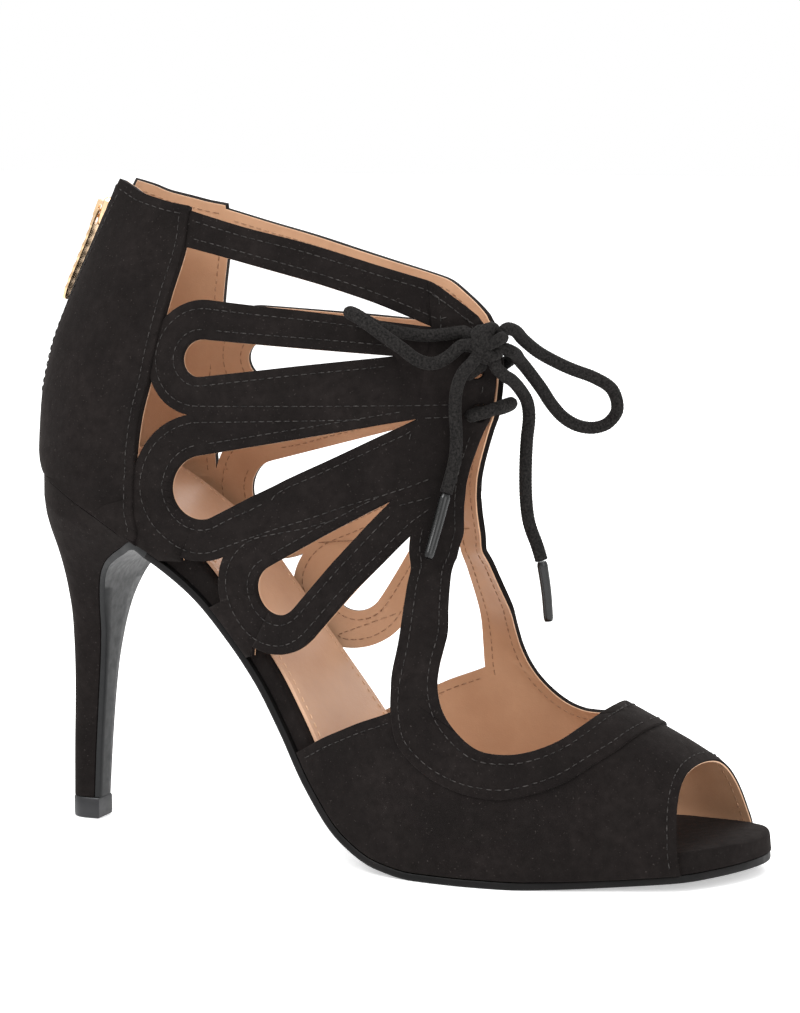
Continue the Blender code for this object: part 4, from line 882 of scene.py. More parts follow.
def beside(line, side, distance, closed=True):
    """A line moved to its left by a distance on the shoe."""
    line = np.array(line)
    if closed:
        t = np.roll(line, -1, axis=0) - np.roll(line, 1, axis=0)
    else:
        t = np.gradient(line, axis=0)
    t /= np.maximum(np.linalg.norm(t, axis=1), 1e-9)[:, None]
    return line + sideways(line, t, side) * distance


WALLS = {"vamp": (0, VAMP_WALL), "band": (1, BAND_WALL), "counter": (2, COUNTER_WALL)}
WALL_AT = {level: wall for level, wall in WALLS.values()}
EDGE_TAN = 0.35 * MM
ROUND = 0.40 * MM
HOLE_STEPS = 20
PLAIN_SOLIDS = 4  # counter, band, strap and vamp come before the petals


def pattern_mesh(side):
    solids, cuts = regions(side)
    outlines = [turned(o) for o in [domain_outline()] + [o for _, o in solids] + cuts]
    points, faces = [], []
    for outline in outlines:
        faces.append(list(range(len(points), len(points) + len(outline))))
        points += outline
    ends = [np.roll(np.array(o), -1, axis=0) for o in outlines]
    starts = np.vstack([np.array(o) for o in outlines])
    ends = np.vstack(ends)

    def clear(places, limit):
        keep = []
        for p in places:
            d = ends - starts
            t = np.clip(((p - starts) * d).sum(1) / np.maximum((d * d).sum(1), 1e-12), 0, 1)
            gap = (((starts + d * t[:, None]) - p) ** 2).sum(1).min()
            keep.append(gap > limit * limit)
        return places[np.array(keep, bool)]

    for k, outline in enumerate(outlines[1:]):
        direction = 1.0 if k < len(solids) else -1.0
        for inset in [row * ROUND for row in RIM_ROWS]:
            line = beside(outline, side, direction * inset)
            line = line[(line[:, 0] > 0.01) & (line[:, 0] < LAST_SECTION - 0.01)
                        & (line[:, 1] > 0.02) & (line[:, 1] < math.pi * GIRTH_SCALE - 0.02)]
            if len(line):
                points += [tuple(p) for p in clear(line, CLEAR_RIM)]
    grid = []
    for i, station in enumerate(np.arange(0.12, LAST_SECTION, GRID_STATION)):
        shift = 0.5 if i % 2 else 1.0
        girths = [(k + shift) * GRID_GIRTH for k in range(round(math.pi / GRID_GIRTH))]
        if station < SEAT + 3:
            girths = [g for g in girths if g > 0.8] + [(k + shift) * 0.08 for k in range(10)]
        grid += [(station, g * GIRTH_SCALE) for g in girths if g < math.pi - 0.01]
    points += [tuple(p) for p in clear(np.array(grid), CLEAR)]
    verts, _, triangles, _, _, origins = delaunay_2d_cdt(
        [Vector(p) for p in points], [], faces, 0, 1e-6, True)
    kept = []
    for triangle, origin in zip(triangles, origins):
        inside = set(origin)
        if 0 not in inside or any(1 + len(solids) + k in inside for k in range(len(cuts))):
            continue
        levels = [WALLS[kind][0] for k, (kind, _) in enumerate(solids) if 1 + k in inside]
        if levels:
            kept.append((tuple(triangle), max(levels)))
    return np.array([tuple(v) for v in verts]), kept, solids, cuts


class Lines:
    """Segments in space, with the distance from a point to the nearest one."""

    def __init__(self, starts, ends):
        self.starts, self.ends = starts, ends
        self.tree = KDTree(len(starts))
        for k, (a, b) in enumerate(zip(starts, ends)):
            self.tree.insert((a + b) / 2, k)
        self.tree.balance()

    def distance(self, p):
        best = 1.0
        for _, k, _ in self.tree.find_n(p, 6):
            a, b = self.starts[k], self.ends[k]
            d = b - a
            t = min(max(float((p - a) @ d) / max(float(d @ d), 1e-18), 0.0), 1.0)
            best = min(best, float(np.linalg.norm(a + d * t - p)))
        return best


def upper_half(side):
    """Suede and lining of one side as points and faces, and what the stitching needs."""
    verts, kept, solids, cuts = pattern_mesh(side)
    used = sorted({i for triangle, _ in kept for i in triangle})
    stations, up = on_last(verts[used])
    up = np.where(up < 1e-7, 0.0, np.where(up > 1 - 1e-7, 1.0, up))
    base = dict(zip(used, last_points(stations, up, side)))
    normal = dict(zip(used, last_normals(stations, up, side)))
    ends = {i: u in (0.0, 1.0) for i, u in zip(used, up)}
    edges = {}
    levels_at = {}
    for triangle, level in kept:
        a, b, c = triangle
        for i in triangle:
            levels_at.setdefault(i, set()).add(level)
        for i, j in ((a, b), (b, c), (c, a)):
            edges.setdefault((min(i, j), max(i, j)), []).append(level)
    rims = {0: [], 1: [], 2: []}
    open_edges = []
    for (i, j), levels in edges.items():
        seam = all(ends[k] and abs(base[k][1]) < 1e-9 for k in (i, j))
        if len(levels) == 1 and not seam:
            open_edges.append((i, j, levels[0]))
            rims[levels[0]].append((i, j))
        elif len(levels) == 2 and levels[0] != levels[1]:
            rims[max(levels)].append((i, j))
    near = {}
    for level, pairs in rims.items():
        if pairs:
            near[level] = Lines([base[i] for i, _ in pairs], [base[j] for _, j in pairs])

    outer, outer_index = [], {}
    inner, inner_index = [], {}

    def on_suede(i, level, height=None):
        key = (i, level, height)
        if key not in outer_index:
            outer_index[key] = len(outer)
            if height is None:
                d = near[level].distance(base[i]) if level in near else 1.0
                drop = ROUND - math.sqrt(max(ROUND**2 - max(ROUND - d, 0.0)**2, 0.0))
                depth = WALL_AT[level] - 0.75 * min(drop, ROUND)
            else:
                depth = height
            outer.append(base[i] + normal[i] * depth)
        return outer_index[key]

    def on_lining(i, height=0.0):
        key = (i, height)
        if key not in inner_index:
            inner_index[key] = len(inner)
            inner.append(base[i] + normal[i] * height)
        return inner_index[key]

    outer_faces, inner_faces = [], []
    for (a, b, c), level in kept:
        outer_faces.append((on_suede(a, level), on_suede(b, level), on_suede(c, level)))
        inner_faces.append((on_lining(c), on_lining(b), on_lining(a)))
    for i, j, level in open_edges:
        low = EDGE_TAN + 0.05 * MM

        def rise(k):
            between = sorted(v for v in levels_at[k] if v < level)
            return [on_suede(k, None, low)] + [on_suede(k, v) for v in between] + [on_suede(k, level)]

        outer_faces.append(tuple(rise(i) + rise(j)[::-1]))
        inner_faces.append((on_lining(i), on_lining(j), on_lining(j, EDGE_TAN),
                            on_lining(i, EDGE_TAN)))
    for (i, j), levels in edges.items():
        if len(levels) == 2 and levels[0] != levels[1]:
            low, high = sorted(levels)

            def climb(k):
                between = sorted(v for v in levels_at[k] if low < v < high)
                return [on_suede(k, v) for v in [low] + between + [high]]

            outer_faces.append(tuple(climb(i) + climb(j)[::-1]))
    rim_all = Lines([base[i] for i, _, _ in open_edges], [base[j] for _, j, _ in open_edges])
    return {"outer": (outer, outer_faces), "inner": (inner, inner_faces), "near": near,
            "rim": rim_all, "solids": solids, "cuts": cuts, "side": side}


def both_sides(halves, key):
    points, faces = [], []
    for half in halves:
        start = len(points)
        more, more_faces = half[key]
        points += more
        faces += [tuple(start + i for i in face) for face in more_faces]
    return points, faces


HALVES = [upper_half(-1), upper_half(1)]
shown("upper_suede", *both_sides(HALVES, "outer"), "suede", "suede_black", ("upper",), 48)
shown("upper_lining", *both_sides(HALVES, "inner"), "lining", "leather_tan", (), 48)


# Stitching

PITCH = 2.3 * MM
STITCH = 1.75 * MM
THREAD = 0.16 * MM
INSET = 2.5 * MM
EDGE_SHARES = (0.8, 1.25)  # nearest and farthest place of a stitch from its edge, in insets
THREAD_LIFT = 0.2 * THREAD
CLOSED_FROM = 75  # an outline with more points than this is stitched all round
STITCH_ANGLES = [math.pi * k / 3 for k in range(6)]
# Along a stitch: share of its length, share of its thickness and lift in radii
STITCH_SHAPE = ((0.02, 0.45, -0.6), (0.16, 0.9, 0.2), (0.5, 1.0, 0.55), (0.84, 0.9, 0.2),
                (0.98, 0.45, -0.6))


def level_at(half, places):
    """The level of the wall at each place, or -1 where there is none."""
    level = np.full(len(places), -1)
    for kind, outline in half["solids"]:
        level = np.where(holds(outline, places), np.maximum(level, WALLS[kind][0]), level)
    for outline in half["cuts"]:
        level[holds(outline, places)] = -1
    return level


def walked(line, side, closed):
    """A pattern line resampled every half pitch, with its places on the shoe."""
    if closed:
        line = np.vstack([line, line[:1]])
    space = surface(line, side)
    length = run_length(space)
    count = max(int(length[-1] / PITCH), 1)
    step = length[-1] / count
    ends = []
    for k in range(count):
        a, b = k * step, k * step + STITCH
        ends.append([[np.interp(t, length, line[:, c]) for c in (0, 1)] for t in (a, b)])
    return np.array(ends)


def capsule(a, b, normal, radius, points, faces):
    """One stitch: thin at both ends, thick and lifted in its middle."""
    d = (b - a) / max(np.linalg.norm(b - a), 1e-9)
    side = np.cross(d, normal)
    side /= max(np.linalg.norm(side), 1e-9)
    up = np.cross(side, d)
    rings = []
    for t, size, lift in STITCH_SHAPE:
        centre = a + (b - a) * t + up * lift * radius
        rings.append([centre + radius * size * (math.cos(angle) * side + math.sin(angle) * up)
                      for angle in STITCH_ANGLES])
    add_rings(rings, points, faces)


def stitch_rows(half):
    """Pattern lines that carry stitches, with the level they lie on (None for any)."""
    side = half["side"]
    rows = []
    for k, (kind, outline) in enumerate(half["solids"]):
        level = WALLS[kind][0]
        whole = PLAIN_SOLIDS <= k < PLAIN_SOLIDS + len(PETALS)
        if whole:
            loop = outline[1 - EDGE_STEPS:] + outline[:-EDGE_STEPS]
            first, last = np.array(loop[0]), np.array(loop[-1])
            before, after = first - np.array(loop[3]), last - np.array(loop[-4])
            loop = ([tuple(first + before / np.linalg.norm(before) * t) for t in (0.9, 0.6, 0.3)]
                    + loop
                    + [tuple(last + after / np.linalg.norm(after) * t) for t in (0.3, 0.6, 0.9)])
            rows.append((beside(loop, side, INSET, False), level, True))
        elif k < PLAIN_SOLIDS:
            rows.append((beside(turned(outline), side, INSET), level, False))
    toe = [p for p in domain_outline() if p[0] >= LAST_SECTION - 1e-6]
    rows.append((beside(toe, side, INSET, False), 0, False))
    for outline in half["cuts"]:
        if len(outline) != HOLE_STEPS:
            rows.append((beside(turned(outline), side, -INSET), None, False))
    return rows


def stitches(half, points, faces, inner_points, inner_faces):
    """Stitches on the suede, and on the lining where a row lies by an open edge."""
    side = half["side"]
    nearest, farthest = [share * INSET for share in EDGE_SHARES]
    for line, own, whole in stitch_rows(half):
        ends = walked(line, side, len(line) > CLOSED_FROM and not whole)
        first, last = ends[:, 0], ends[:, 1]
        levels = level_at(half, first), level_at(half, last)
        for k in range(len(first)):
            level = levels[0][k]
            if level < 0 or levels[1][k] != level or (own is not None and level != own):
                continue
            pair = np.array([first[k], last[k]])
            if pair[:, 0].min() < 0.02 or pair[:, 0].max() > LAST_SECTION - 0.02:
                continue
            if pair[:, 1].min() < 0.12 or pair[:, 1].max() > math.pi * GIRTH_SCALE - 0.02:
                continue
            a, b = surface(pair, side)
            gap = min(half["near"][level].distance(a), half["near"][level].distance(b))
            if gap < nearest or (not whole and gap > farthest):
                continue
            n = last_normals(*on_last((pair[:1] + pair[1:]) / 2), side)[0]
            lift = n * (WALL_AT[level] + THREAD_LIFT)
            capsule(a + lift, b + lift, n, THREAD, points, faces)
            if half["rim"].distance(a) < farthest or whole:
                dip = -n * THREAD_LIFT
                capsule(a + dip, b + dip, -n, THREAD, inner_points, inner_faces)


dark, dark_faces, pale, pale_faces = [], [], [], []
lined, lined_faces = [], []
for half in HALVES:
    stitches(half, dark, dark_faces, lined, lined_faces)


# Sole, board and heel, as the solids but smoother

SHEET_STEP = 0.17
BOARD_CORNER = 1.1 * MM
SOCK_STITCH_INSET = 2.6 * MM
SOLE_SOFTNESS = 0.35 * MM


def board_depth(station):
    heel = Curve((SEAT, 8, 9.5, 11, 12.5, 14, TOE_END), (0.40, 0.85, 1.0, 0.72, 0.15, 0.0, 0.0))
    toe = Curve((SEAT, 21, 23, 25, TOE_END), (0.0, 0.0, 1.0, 0.9, -0.3))
    return BOARD + HEEL_PAD * heel(station) + TOE_PAD * toe(station)


def room(station, depth):
    if station > LAST_SECTION:
        return 1.0
    p = sole_line(station) + depth * sole_normal(station)
    section, up = locate(p[0], p[1])
    return half_width(LAST(section), min(max(up, 0.0), 1.0))


def sheet_rings(outline, stations, levels, margin=GAP):
    """Rings across the sole; a level is a depth and a share of the inset at its corner."""
    rings = []
    for s in stations:
        row = []
        for level, pull in levels:
            depth = level(s)
            w = half_at(s, outline)
            if depth > GAP:
                w = min(w, room(s, depth) - margin)
            row.append((max(w - pull, 0.0004), depth))
        rings.append([sole_point(s, -w, d) for w, d in row]
                     + [sole_point(s, w, d) for w, d in row[::-1]])
    return rings


def outline_stations(outline, start=None, end=None):
    s = outline[0]
    start = s[0] if start is None else start
    end = s[-1] if end is None else end
    middle = np.arange(max(start, SEAT + 1.2), min(end, LAST_SECTION - 0.2), SHEET_STEP)
    rear = [v for v in s if start <= v < SEAT + 1.2 - 0.1]
    front = [v for v in s if max(middle[-1] + 0.1, LAST_SECTION - 0.2) < v < end - 1e-3]
    return [start] + [v for v in rear if v > start + 1e-3] + list(middle) + front + [end]


def heel_fronts():
    corner = sole_line(HEEL_CORNER) - GAP * sole_normal(HEEL_CORNER)
    rows = [(corner, half_at(HEEL_CORNER, inset_plan(-HEEL_LIP)) * FRONT_SHARE)]
    for r in HEEL:
        rows.append((np.array((place_x(r.front), place_z(r.front_lift))),
                     r.half * BALL_WIDTH * FRONT_SHARE))
    return rows


def forward_normals(points):
    out = []
    for i in range(len(points)):
        d = unit(points[min(i + 1, len(points) - 1)] - points[max(i - 1, 0)])
        out.append(np.array((-d[1], d[0])))
    return out


def build_board():
    outline = inset_plan(2 * GAP)
    corner = BOARD_CORNER
    # The board's upper corner is rounded in three steps
    levels = ((lambda s: 0.0, 0.0), (lambda s: board_depth(s) / 2, 0.0),
              (lambda s: board_depth(s) - corner, 0.0),
              (lambda s: board_depth(s) - 0.4 * corner, 0.15 * corner),
              (lambda s: board_depth(s) - 0.1 * corner, 0.5 * corner), (board_depth, corner))
    rings = sheet_rings(outline, outline_stations(outline), levels, 2 * GAP)
    shown_rings("board_suede", rings, "suede", "suede_black", ("insole_board",), 50)


def build_sock():
    outline = inset_plan(GAP + SOCK_MARGIN)
    top = SOCK + GAP
    levels = ((lambda s: board_depth(s) + GAP, 0.0),
              (lambda s: board_depth(s) + 0.6 * top, 0.0),
              (lambda s: board_depth(s) + top, 0.35 * MM))
    rings = sheet_rings(outline, outline_stations(outline, end=SOCK_END), levels, 4 * GAP)
    shown_rings("sock_leather", rings, "sock", "leather_tan", ("insole_sock",), 50)
    for side in (-1, 1):
        line = []
        for s in np.linspace(SEAT + 0.35, SOCK_END - 0.2, 220):
            w = min(half_at(s, outline), room(s, board_depth(s) + top) - 4 * GAP)
            w -= SOCK_STITCH_INSET
            if w > 0.002:
                line.append(sole_point(s, side * w, board_depth(s) + top + 0.25 * THREAD))
        line = np.array(line)
        length = run_length(line)
        for a in np.arange(0.0, length[-1] - STITCH, PITCH * 1.15):
            p, q = [np.array([np.interp(t, length, line[:, c]) for c in range(3)])
                    for t in (a, a + STITCH)]
            n = np.cross(q - p, (0.0, 1.0, 0.0))
            n *= -1 if n[2] < 0 else 1
            capsule(p, q, n / np.linalg.norm(n), THREAD, pale, pale_faces)


def build_outsole():
    wide = inset_plan(-OUTSOLE_LIP)
    outline = inset_plan(TOE_INSET)
    share = np.clip((outline[0] - LAST_SECTION + 3) / 3, 0, 1)
    ends = np.interp(outline[0], wide[0], wide[1])
    outline = (outline[0], outline[1] * share + ends * (1 - share))
    stations = outline_stations(outline, start=HEEL_CORNER + 0.45)
    soft = SOLE_SOFTNESS
    levels = ((lambda s: -GAP - OUTSOLE, 1.6 * soft), (lambda s: -GAP - OUTSOLE + soft, 0.3 * soft),
              (lambda s: -GAP - OUTSOLE + 2 * soft, 0.0), (lambda s: -GAP - soft, 0.0),
              (lambda s: -GAP, 0.7 * soft))
    rings = sheet_rings(outline, stations[::-1], levels)
    shown_rings("outsole_rubber", rings, "sole", "outsole_black", ("outsole",), 50)
    fronts = heel_fronts()
    normals = forward_normals([p for p, _ in fronts])
    n = sole_normal(HEEL_CORNER)
    inner = fronts[0][0] + 1.25 * GAP * np.array((n[1], -n[0]))
    edges = [(inner, inner - np.array((0.0, 1.17 * OUTSOLE)))]
    for i in range(1, len(fronts)):
        thick = OUTSOLE + (FLAP - OUTSOLE) * min(i / 3, 1.0)
        p = fronts[i][0]
        edges.append((p + GAP * normals[i], p + (GAP + thick) * normals[i]))
    first = sole_line(HEEL_CORNER + 0.45)
    up = sole_normal(HEEL_CORNER + 0.45)
    edges.insert(0, (first - GAP * up, first - (GAP + OUTSOLE) * up))
    halves = [half_at(HEEL_CORNER + 0.45, outline)] + [half - GAP for _, half in fronts]
    rows = np.array([np.concatenate([a, b, [h]]) for (a, b), h in zip(edges, halves)])
    t = run_length(rows[:, :2])
    curve = Curve(t, rows)
    rings = []
    for v in np.linspace(0, t[-1], 60):
        x0, z0, x1, z1, half = curve(v)
        d = np.array((x1 - x0, z1 - z0))
        ring = []
        for y, depth in ((-half, 0.0), (-half, 0.75), (-half + soft, 1.0), (-0.5 * half, 1.04),
                         (0.0, 1.05), (0.5 * half, 1.04), (half - soft, 1.0), (half, 0.75),
                         (half, 0.0)):
            ring.append(np.array((x0 + d[0] * depth, y, z0 + d[1] * depth)))
        rings.append(ring)
    shown_rings("heel_breast", rings, "breast", "outsole_black", (), 50)


def d_ring(back, front, half):
    left = [np.array((back[0] + (front[0] - back[0]) * t, -half * w,
                      back[1] + (front[1] - back[1]) * t)) for t, w in D_FINE]
    return left + [np.array((p[0], -p[1], p[2])) for p in left[1:]][::-1]


D_CURVE = Curve([t**0.5 for t, _ in D_SHAPE], [w for _, w in D_SHAPE])
D_FINE = [(t, D_CURVE(t**0.5)) for t in np.linspace(0, 1, 21)**2]


def build_heel():
    outline = inset_plan(-HEEL_LIP)
    start = outline[0][0]
    run = np.linspace(start, HEEL_CORNER, 60)
    xs = [sole_line(s)[0] for s in run]
    corner_half = heel_fronts()[0][1]
    top = []
    for t, _ in D_FINE:
        s = float(np.interp(xs[0] + (xs[-1] - xs[0]) * t, xs, run))
        top.append(sole_point(s, -(corner_half if t == 1.0 else half_at(s, outline)), -GAP))
    first = top + [p * np.array((1.0, -1.0, 1.0)) for p in top[:0:-1]]
    rows = np.array([(place_x(r.back), place_z(r.back_lift), place_x(r.front),
                      place_z(r.front_lift), r.half * BALL_WIDTH) for r in HEEL])
    t = np.arange(len(rows), dtype=float)
    curve = Curve(t, rows)
    rings = [first]
    for v in np.linspace(0, t[-1], 45):
        x0, z0, x1, z1, half = curve(v)
        rings.append(d_ring(np.array((x0, z0)), np.array((x1, z1)), half))
    shown_rings("heel_suede", rings, "suede", "suede_black", ("heel",), 50)
    tip = HEEL[-1]
    roof = place_z(tip.front_lift) - GAP
    rings = []
    for z, grow in ((0.0, -0.0006), (0.0003, -0.0001), (0.0010, 0.0), (roof - 0.0004, 0.0),
                    (roof, -0.0003)):
        rings.append(d_ring(np.array((place_x(tip.back) - 0.0003 - grow, z)),
                            np.array((place_x(tip.front) + GAP + FLAP + grow, z)),
                            tip.half * BALL_WIDTH + 0.0002 + grow))
    shown_rings("heel_tip", rings, "plastic", "plastic_black", ("top_lift",), 50)


build_board()
build_sock()
build_outsole()
build_heel()


# Back zip

def back_line(station):
    return LAST(station)[0:2]


def back_normal(station):
    d = unit(back_line(station + 0.1) - back_line(max(station - 0.1, 0.0)))
    return np.array((d[1], -d[0]))


def back_point(station, y, depth):
    p = back_line(station) + depth * back_normal(station)
    return np.array((p[0], y, p[1]))


TAPE_DEPTH = 0.0002
TAPE_TUCK = 0.0009
TAPE_START = 0.30
TEETH_START = 0.32
TOOTH_PITCH = 0.0012
# Along a tooth: share of the pitch, share of its width and share of its height
TOOTH_SHAPE = ((0.0, 0.8, 0.0), (0.12, 1.0, 0.8), (0.35, 1.0, 1.0), (0.58, 1.0, 0.8),
               (0.7, 0.8, 0.0))
TAB_RIBS = 7
PLATE_START = 0.16
TEETH_DEPTH = TAPE_DEPTH + TAPE_THICKNESS
SLIDER_DEPTH = TEETH_DEPTH + TEETH_HEIGHT + GAP
PIN_RADIUS = 0.00045
PIN_DEPTH = SLIDER_DEPTH + SLIDER_HEIGHT + PIN_RADIUS + 0.0003
PIN_STATION = 0.78


def build_zip():
    half = ZIP_SLIT / 2 + TAPE_TUCK
    rings = []
    for s in np.linspace(TAPE_START, ZIP_END + 0.08, 60):
        rings.append([back_point(s, y, d) for y, d in ((-half, TAPE_DEPTH), (half, TAPE_DEPTH),
                                                       (half, TEETH_DEPTH), (-half, TEETH_DEPTH))])
    shown_rings("zip_cloth", rings, "tape", "tape_black", ("zip_tape",))
    points, faces = [], []
    span = np.linalg.norm(back_line(1.0) - back_line(0.0))
    pitch = TOOTH_PITCH / span
    for k, s in enumerate(np.arange(TEETH_START, ZIP_END - 0.1, pitch)):
        shift = 0.0003 if k % 2 else -0.0003
        y0, y1 = shift - TEETH_WIDTH / 2 + 0.0003, shift + TEETH_WIDTH / 2 - 0.0003
        rings = []
        for t, w, h in TOOTH_SHAPE:
            m = (y0 + y1) / 2
            r = (y1 - y0) / 2 * w
            rings.append([back_point(s + t * pitch, y, TEETH_DEPTH - 0.0001 + d)
                          for y, d in ((m - r, 0.0), (m + r, 0.0),
                                       (m + 0.8 * r, TEETH_HEIGHT * h + 0.0001),
                                       (m - 0.8 * r, TEETH_HEIGHT * h + 0.0001))])
        add_rings(rings, points, faces)
    shown("zip_teeth", points, faces, "plastic", "tape_black")


def tab_line():
    rest = COUNTER_WALL + TAB_THICKNESS / 2 + 0.0004
    depths = ((0.0, PIN_DEPTH), (0.10, PIN_DEPTH + 0.0001), (0.30, rest + 0.0004),
              (0.55, rest + 0.0003), (0.80, rest + 0.0003), (1.0, rest + 0.0003))
    span = np.linalg.norm(back_line(1.0) - back_line(0.0))
    out = []
    for t, depth in depths:
        s = PIN_STATION + t * TAB_LENGTH / span
        out.append(back_line(s) + depth * back_normal(s))
    return out


def build_tab():
    """The pull tab: ribs across a waisted plate, two arms and a pin."""
    p = back_line(PIN_STATION) + PIN_DEPTH * back_normal(PIN_STATION)
    half = TAB_WIDTH / 2
    curve = Curve((0.0, 0.10, 0.30, 0.55, 0.80, 1.0), tab_line())
    widths = Curve((0.0, 0.16, 0.5, 0.85, 0.95, 1.0), (0.72, 0.80, 0.92, 1.0, 0.90, 0.62))

    def ring(share, y0, y1, thick):
        a, b = curve(max(share - 0.02, 0.0)), curve(min(share + 0.02, 1.0))
        d = (b - a) / np.linalg.norm(b - a)
        n = np.array((d[1], -d[0])) * thick / 2
        c = curve(share)
        e = min(0.00025, (y1 - y0) / 4)
        rows = ((-1, y0 + e), (-1, y1 - e), (-0.5, y1), (0.5, y1), (1, y1 - e), (1, y0 + e),
                (0.5, y0), (-0.5, y0))
        return [np.array((c[0] + n[0] * k, y, c[1] + n[1] * k)) for k, y in rows]

    points, faces = [], []
    plate = []
    for share in np.linspace(PLATE_START, 1.0, 90):
        turns = (share - PLATE_START) / (1 - PLATE_START) * TAB_RIBS
        wave = 0.5 + 0.5 * math.cos(2 * math.pi * turns)
        thick = TAB_THICKNESS * (0.80 + 0.20 * wave)
        w = half * widths(share) * (0.94 + 0.06 * wave)
        plate.append(ring(share, -w, w, thick))
    add_rings(plate, points, faces)
    for side in (-1, 1):
        rings = []
        for share in np.linspace(0.0, 0.18, 9):
            outer = half * widths(share)
            y0, y1 = sorted((side * outer, side * (outer - 0.0010)))
            rings.append(ring(share, y0, y1, TAB_THICKNESS * 0.95))
        add_rings(rings, points, faces)
    rings = []
    for y in (-half * widths(0.0), half * widths(0.0)):
        rings.append([np.array((p[0] + PIN_RADIUS * math.cos(a), y * 0.98,
                                p[1] + PIN_RADIUS * math.sin(a)))
                      for a in np.linspace(0, 2 * math.pi, 17)[:-1]])
    add_rings(rings, points, faces)
    shown("zip_tab", points, faces, "gold", "metal_gold", ("zip_pull_tab",), 35, "pull_tab")


def build_bar_tack():
    """Stitches across the foot of the zip's slit."""
    backward = np.array((-1.0, 0.0, 0.1))
    for k in range(5):
        s = ZIP_END + 0.03 + 0.035 * k
        y = 0.0024 - 0.0002 * k
        capsule(back_point(s, -y, COUNTER_WALL), back_point(s, y, COUNTER_WALL), backward,
                1.3 * THREAD, dark, dark_faces)


build_zip()
build_tab()
build_bar_tack()
shown("stitching_dark", dark, dark_faces, "dark_thread", "cord_black", (), 60)
shown("stitching_lining", lined, lined_faces, "lining_thread", "leather_tan", (), 60)
shown("stitching_sock", pale, pale_faces, "tan_thread", "leather_tan", (), 60)
slider_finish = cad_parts["zip_slider"].data.materials
slider_finish.clear()
slider_finish.append(MATS["gold"])


def through(points, length, places):
    """Points read from a smooth curve through a route's own points."""
    m = np.zeros_like(points)
    m[1:-1] = (points[2:] - points[:-2]) / (length[2:] - length[:-2])[:, None]
    m[0] = (points[1] - points[0]) / (length[1] - length[0])
    m[-1] = (points[-1] - points[-2]) / (length[-1] - length[-2])
    out = []
    for t in places:
        i = min(int(np.searchsorted(length, t, side="right")) - 1, len(length) - 2)
        h = length[i + 1] - length[i]
        r = (t - length[i]) / h
        out.append(eased(r, h, points[i], m[i], points[i + 1], m[i + 1]))
    return out


# Routes of the laces in millimetres, and the directions in which they leave the knot at their start
# and end
BARS = {
    "lace_bar": ((119.2, -8.8, 119.8), (122.2, -7.7, 120.6), (125.1, -4.8, 121.8),
                 (126.8, 0.0, 122.6), (125.1, 4.8, 121.8), (122.2, 7.7, 120.6),
                 (119.2, 8.8, 119.8)),
    "lace_rise_near": ((118.4, -8.9, 130.8), (120.0, -8.7, 132.2)),
    "lace_rise_far": ((118.4, 8.9, 130.8), (121.4, 8.7, 132.0), (124.0, 7.6, 133.6),
                      (126.0, 5.8, 135.4)),
}
CORDS = {
    "lace_loop_near": ((114.6, -14.2, 135.6), (111.4, -16.6, 134.0),
                       (108.2, -19.4, 135.0), (104.0, -21.4, 138.4), (98.4, -22.2, 142.2),
                       (93.4, -22.2, 145.4), (89.6, -20.9, 147.0), (89.8, -17.4, 146.4),
                       (95.4, -15.6, 143.2), (106.7, -13.2, 141.0), (113.0, -10.8, 141.4)),
    "lace_loop_far": ((129.2, -2.4, 142.0), (130.0, 1.2, 139.6), (132.8, 5.6, 136.0),
                      (136.8, 9.6, 133.0), (140.2, 12.6, 131.0), (145.2, 16.0, 128.7),
                      (148.9, 19.5, 125.4), (149.6, 22.0, 120.0), (147.0, 22.6, 116.2),
                      (143.6, 21.0, 114.8), (139.8, 18.5, 115.4), (136.6, 15.5, 117.8),
                      (134.2, 12.4, 121.6), (132.4, 9.2, 126.0), (129.8, 5.0, 131.4),
                      (129.0, 1.0, 134.2), (129.2, -2.0, 135.8)),
    "lace_end_far": ((127.4, -6.2, 130.6), (128.3, -2.6, 129.0), (128.8, 2.0, 126.4),
                     (129.6, 5.6, 122.8), (129.6, 7.4, 118.4), (128.8, 8.0, 112.2),
                     (128.4, 8.2, 104.0), (128.6, 8.2, 96.0), (129.4, 8.6, 89.6),
                     (131.6, 9.2, 83.2), (132.6, 9.6, 79.6)),
    "lace_end_near": ((118.9, -14.6, 131.4), (117.0, -14.0, 127.0),
                      (116.0, -12.4, 121.3), (115.9, -11.2, 114.8), (115.6, -11.2, 109.0),
                      (114.6, -12.0, 103.6), (113.8, -13.2, 99.6)),
    "aglet_near": ((113.7, -13.3, 99.2), (112.6, -16.2, 91.4), (111.4, -20.0, 83.0)),
    "aglet_far": ((132.7, 9.62, 79.2), (133.8, 10.2, 71.0), (134.4, 10.6, 62.9)),
}
KNOT_EXITS = {
    "lace_rise_near": (None, (-0.30, 0.30, -0.90)),
    "lace_loop_near": ((-0.75, -0.65, -0.10), (-0.90, 0.10, 0.42)),
    "lace_loop_far": ((0.50, 0.70, 0.50), (0.60, 0.75, -0.30)),
    "lace_end_far": ((0.30, 0.10, -0.93), None),
    "lace_end_near": ((-0.30, -0.70, -0.65), None),
}
KNOT_PLACE = (0.1238, -0.0094, 0.1392)


def knot_exit(direction):
    """Two points in millimetres where a lace leaves the knot, the first by its surface."""
    n = unit(np.array(direction))
    radii = np.array(KNOT) * 1000
    surface = radii**2 * n / np.linalg.norm(radii * n) + np.array(KNOT_PLACE) * 1000
    return [tuple(surface + n * 1.5 * GAP * 1000), tuple(surface + n * 1.9)]


def routed(name, points):
    """A lace's route with the points by the knot at the ends that leave it."""
    start, end = KNOT_EXITS.get(name, (None, None))
    first = knot_exit(start) if start else []
    last = knot_exit(end)[::-1] if end else []
    return first + list(points) + last


# Laces: round cords with a braided surface

